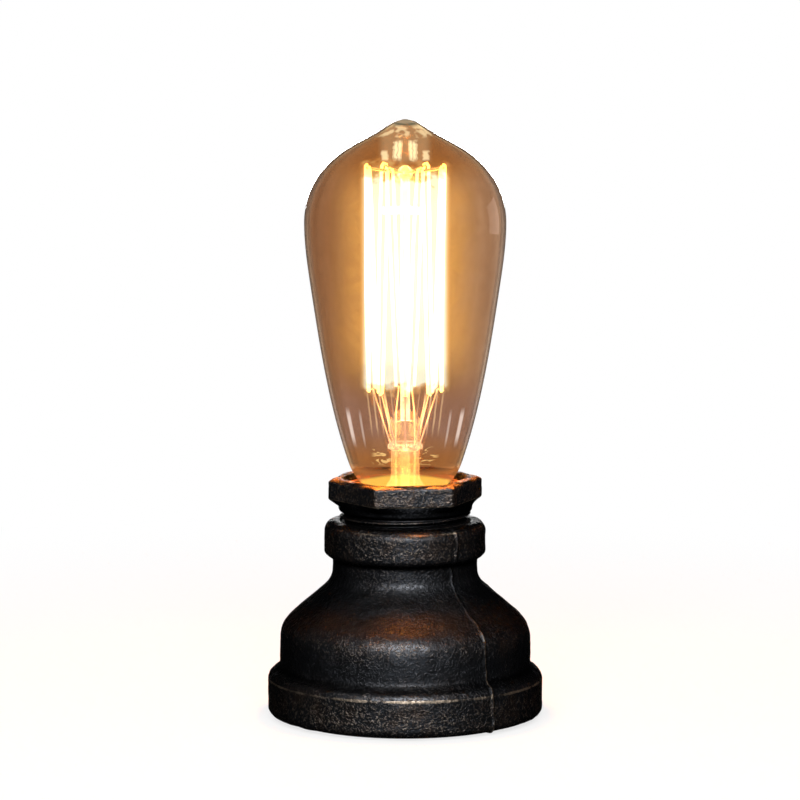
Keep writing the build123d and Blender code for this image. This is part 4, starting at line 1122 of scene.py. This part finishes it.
class BushingOperator(bpy.types.Operator):
    """The hexagon bushing that holds the lamp holder"""

    bl_idname = "pipe_lamp.bushing"
    bl_label = "Threaded Bushing"

    def execute(self, context):
        # The bushing's iron is painted 1.5 times lighter: painted light on its faces.
        look = black_iron(context.scene.lamp_finish, "bushing_iron", 200.0, 0.0002, 1.5)
        threaded_bushing(look)
        return {"FINISHED"}


class EnvelopeOperator(bpy.types.Operator):
    """The bulb's amber glass"""

    bl_idname = "pipe_lamp.envelope"
    bl_label = "Glass Envelope"

    def execute(self, context):
        envelope(context.scene.lamp_sizes, amber_glass(context.scene.lamp_finish))
        return {"FINISHED"}


class FilamentOperator(bpy.types.Operator):
    """The glowing filament"""

    bl_idname = "pipe_lamp.filament"
    bl_label = "Filament"

    def execute(self, context):
        filament_coil(context.scene.lamp_sizes, hot_wire(context.scene.lamp_finish))
        return {"FINISHED"}


class FinishesOperator(bpy.types.Operator):
    """Finishes of the parts that keep their shape"""

    bl_idname = "pipe_lamp.finishes"
    bl_label = "Finishes"

    def execute(self, context):
        finish = context.scene.lamp_finish
        metal = {"metallic": 1.0}
        woolly = {"stain_share": 0.6, "patch": 0.0012, "fine": 0.00018, "relief": 0.00015}
        striped = {"stain_share": 1.0}
        # Painted light: the support wires glow as if lit by the filament.
        painted_wire_glow = {**metal, "emission_color": (1.0, 0.8, 0.7), "emission_strength": 1.0}
        # Painted light: the cement glows yellow, as if lit by the filament.
        painted_cement_glow = {"emission_color": (1.0, 0.5, 0.07), "emission_strength": 0.5}
        looks = {
            slot: plain(slot, colour, stain, gloss, **more)
            for slot, colour, stain, gloss, more in (
                ("brass", finish.brass, (0.35, 0.2, 0.08), 0.28, metal),
                ("steel", finish.zinc, (0.33, 0.33, 0.33), 0.34, metal),
                ("felt", (0.03, 0.03, 0.032), (0.07, 0.07, 0.07), 0.95, woolly),
                ("rubber", (0.022, 0.022, 0.022), (0.05, 0.05, 0.05), 0.62, {}),
                ("brown_insulation", (0.16, 0.06, 0.025), (0.1, 0.04, 0.02), 0.42, {}),
                ("blue_insulation", (0.03, 0.12, 0.42), (0.02, 0.07, 0.3), 0.42, {}),
                ("earth_insulation", (0.16, 0.36, 0.04), (0.62, 0.55, 0.04), 0.42, striped),
                ("black_glass", (0.01, 0.01, 0.012), (0.02, 0.02, 0.02), 0.12, {}),
                ("bright_wire", (0.85, 0.62, 0.45), (0.6, 0.4, 0.3), 0.3, painted_wire_glow),
                ("cement", (0.75, 0.6, 0.35), (0.6, 0.45, 0.25), 0.8, painted_cement_glow),
            )
        }
        looks["porcelain"] = glazed(finish)
        looks["clear_glass"] = lit_glass(
            "stem_glass", (0.98, 0.95, 0.88), (0.8, 0.62, 0.38), (1.0, 0.86, 0.56), 0.55
        )
        rod = lit_glass("rod_glass", (1.0, 0.97, 0.85), (1.0, 0.92, 0.66), (1.0, 0.87, 0.55), 1.8)
        for part in frame["record"]["subparts"]:
            node, slot = part["node"], part["material_slot"]
            look = rod if node == "stem_rod" else looks.get(slot)
            if look is None:
                continue
            mesh = frame["nodes"][node].data
            if not mesh.materials:
                mesh.materials.append(look)
            for place in range(len(mesh.materials)):
                mesh.materials[place] = look
        return {"FINISHED"}


class LampPanel(bpy.types.Panel):
    """Lists the lamp's settings and the steps that build it"""

    bl_idname = "VIEW3D_PT_pipe_lamp"
    bl_label = "Pipe Lamp"
    bl_space_type = "VIEW_3D"
    bl_region_type = "UI"
    bl_category = "Pipe Lamp"

    def draw(self, context):
        for group in (context.scene.lamp_sizes, context.scene.lamp_finish):
            box = self.layout.box()
            for name in type(group).__annotations__:
                box.prop(group, name)
        for step in STEPS:
            self.layout.operator(step.bl_idname)


STEPS = (
    StageOperator, CastingOperator, BushingOperator,
    EnvelopeOperator, FilamentOperator, FinishesOperator,
)
CLASSES = (LampSizes, LampFinish, *STEPS, LampPanel)


def register():
    """Makes the settings, the steps and the panel known to Blender."""
    for cls in CLASSES:
        bpy.utils.register_class(cls)
    bpy.types.Scene.lamp_sizes = bpy.props.PointerProperty(type=LampSizes)
    bpy.types.Scene.lamp_finish = bpy.props.PointerProperty(type=LampFinish)


def unregister():
    """Takes them away again."""
    del bpy.types.Scene.lamp_finish
    del bpy.types.Scene.lamp_sizes
    for cls in reversed(CLASSES):
        bpy.utils.unregister_class(cls)


def main():
    """Builds the lamp."""
    register()
    for step in STEPS:
        group, name = step.bl_idname.split(".")
        getattr(getattr(bpy.ops, group), name)()


if __name__ == "__main__":
    main()
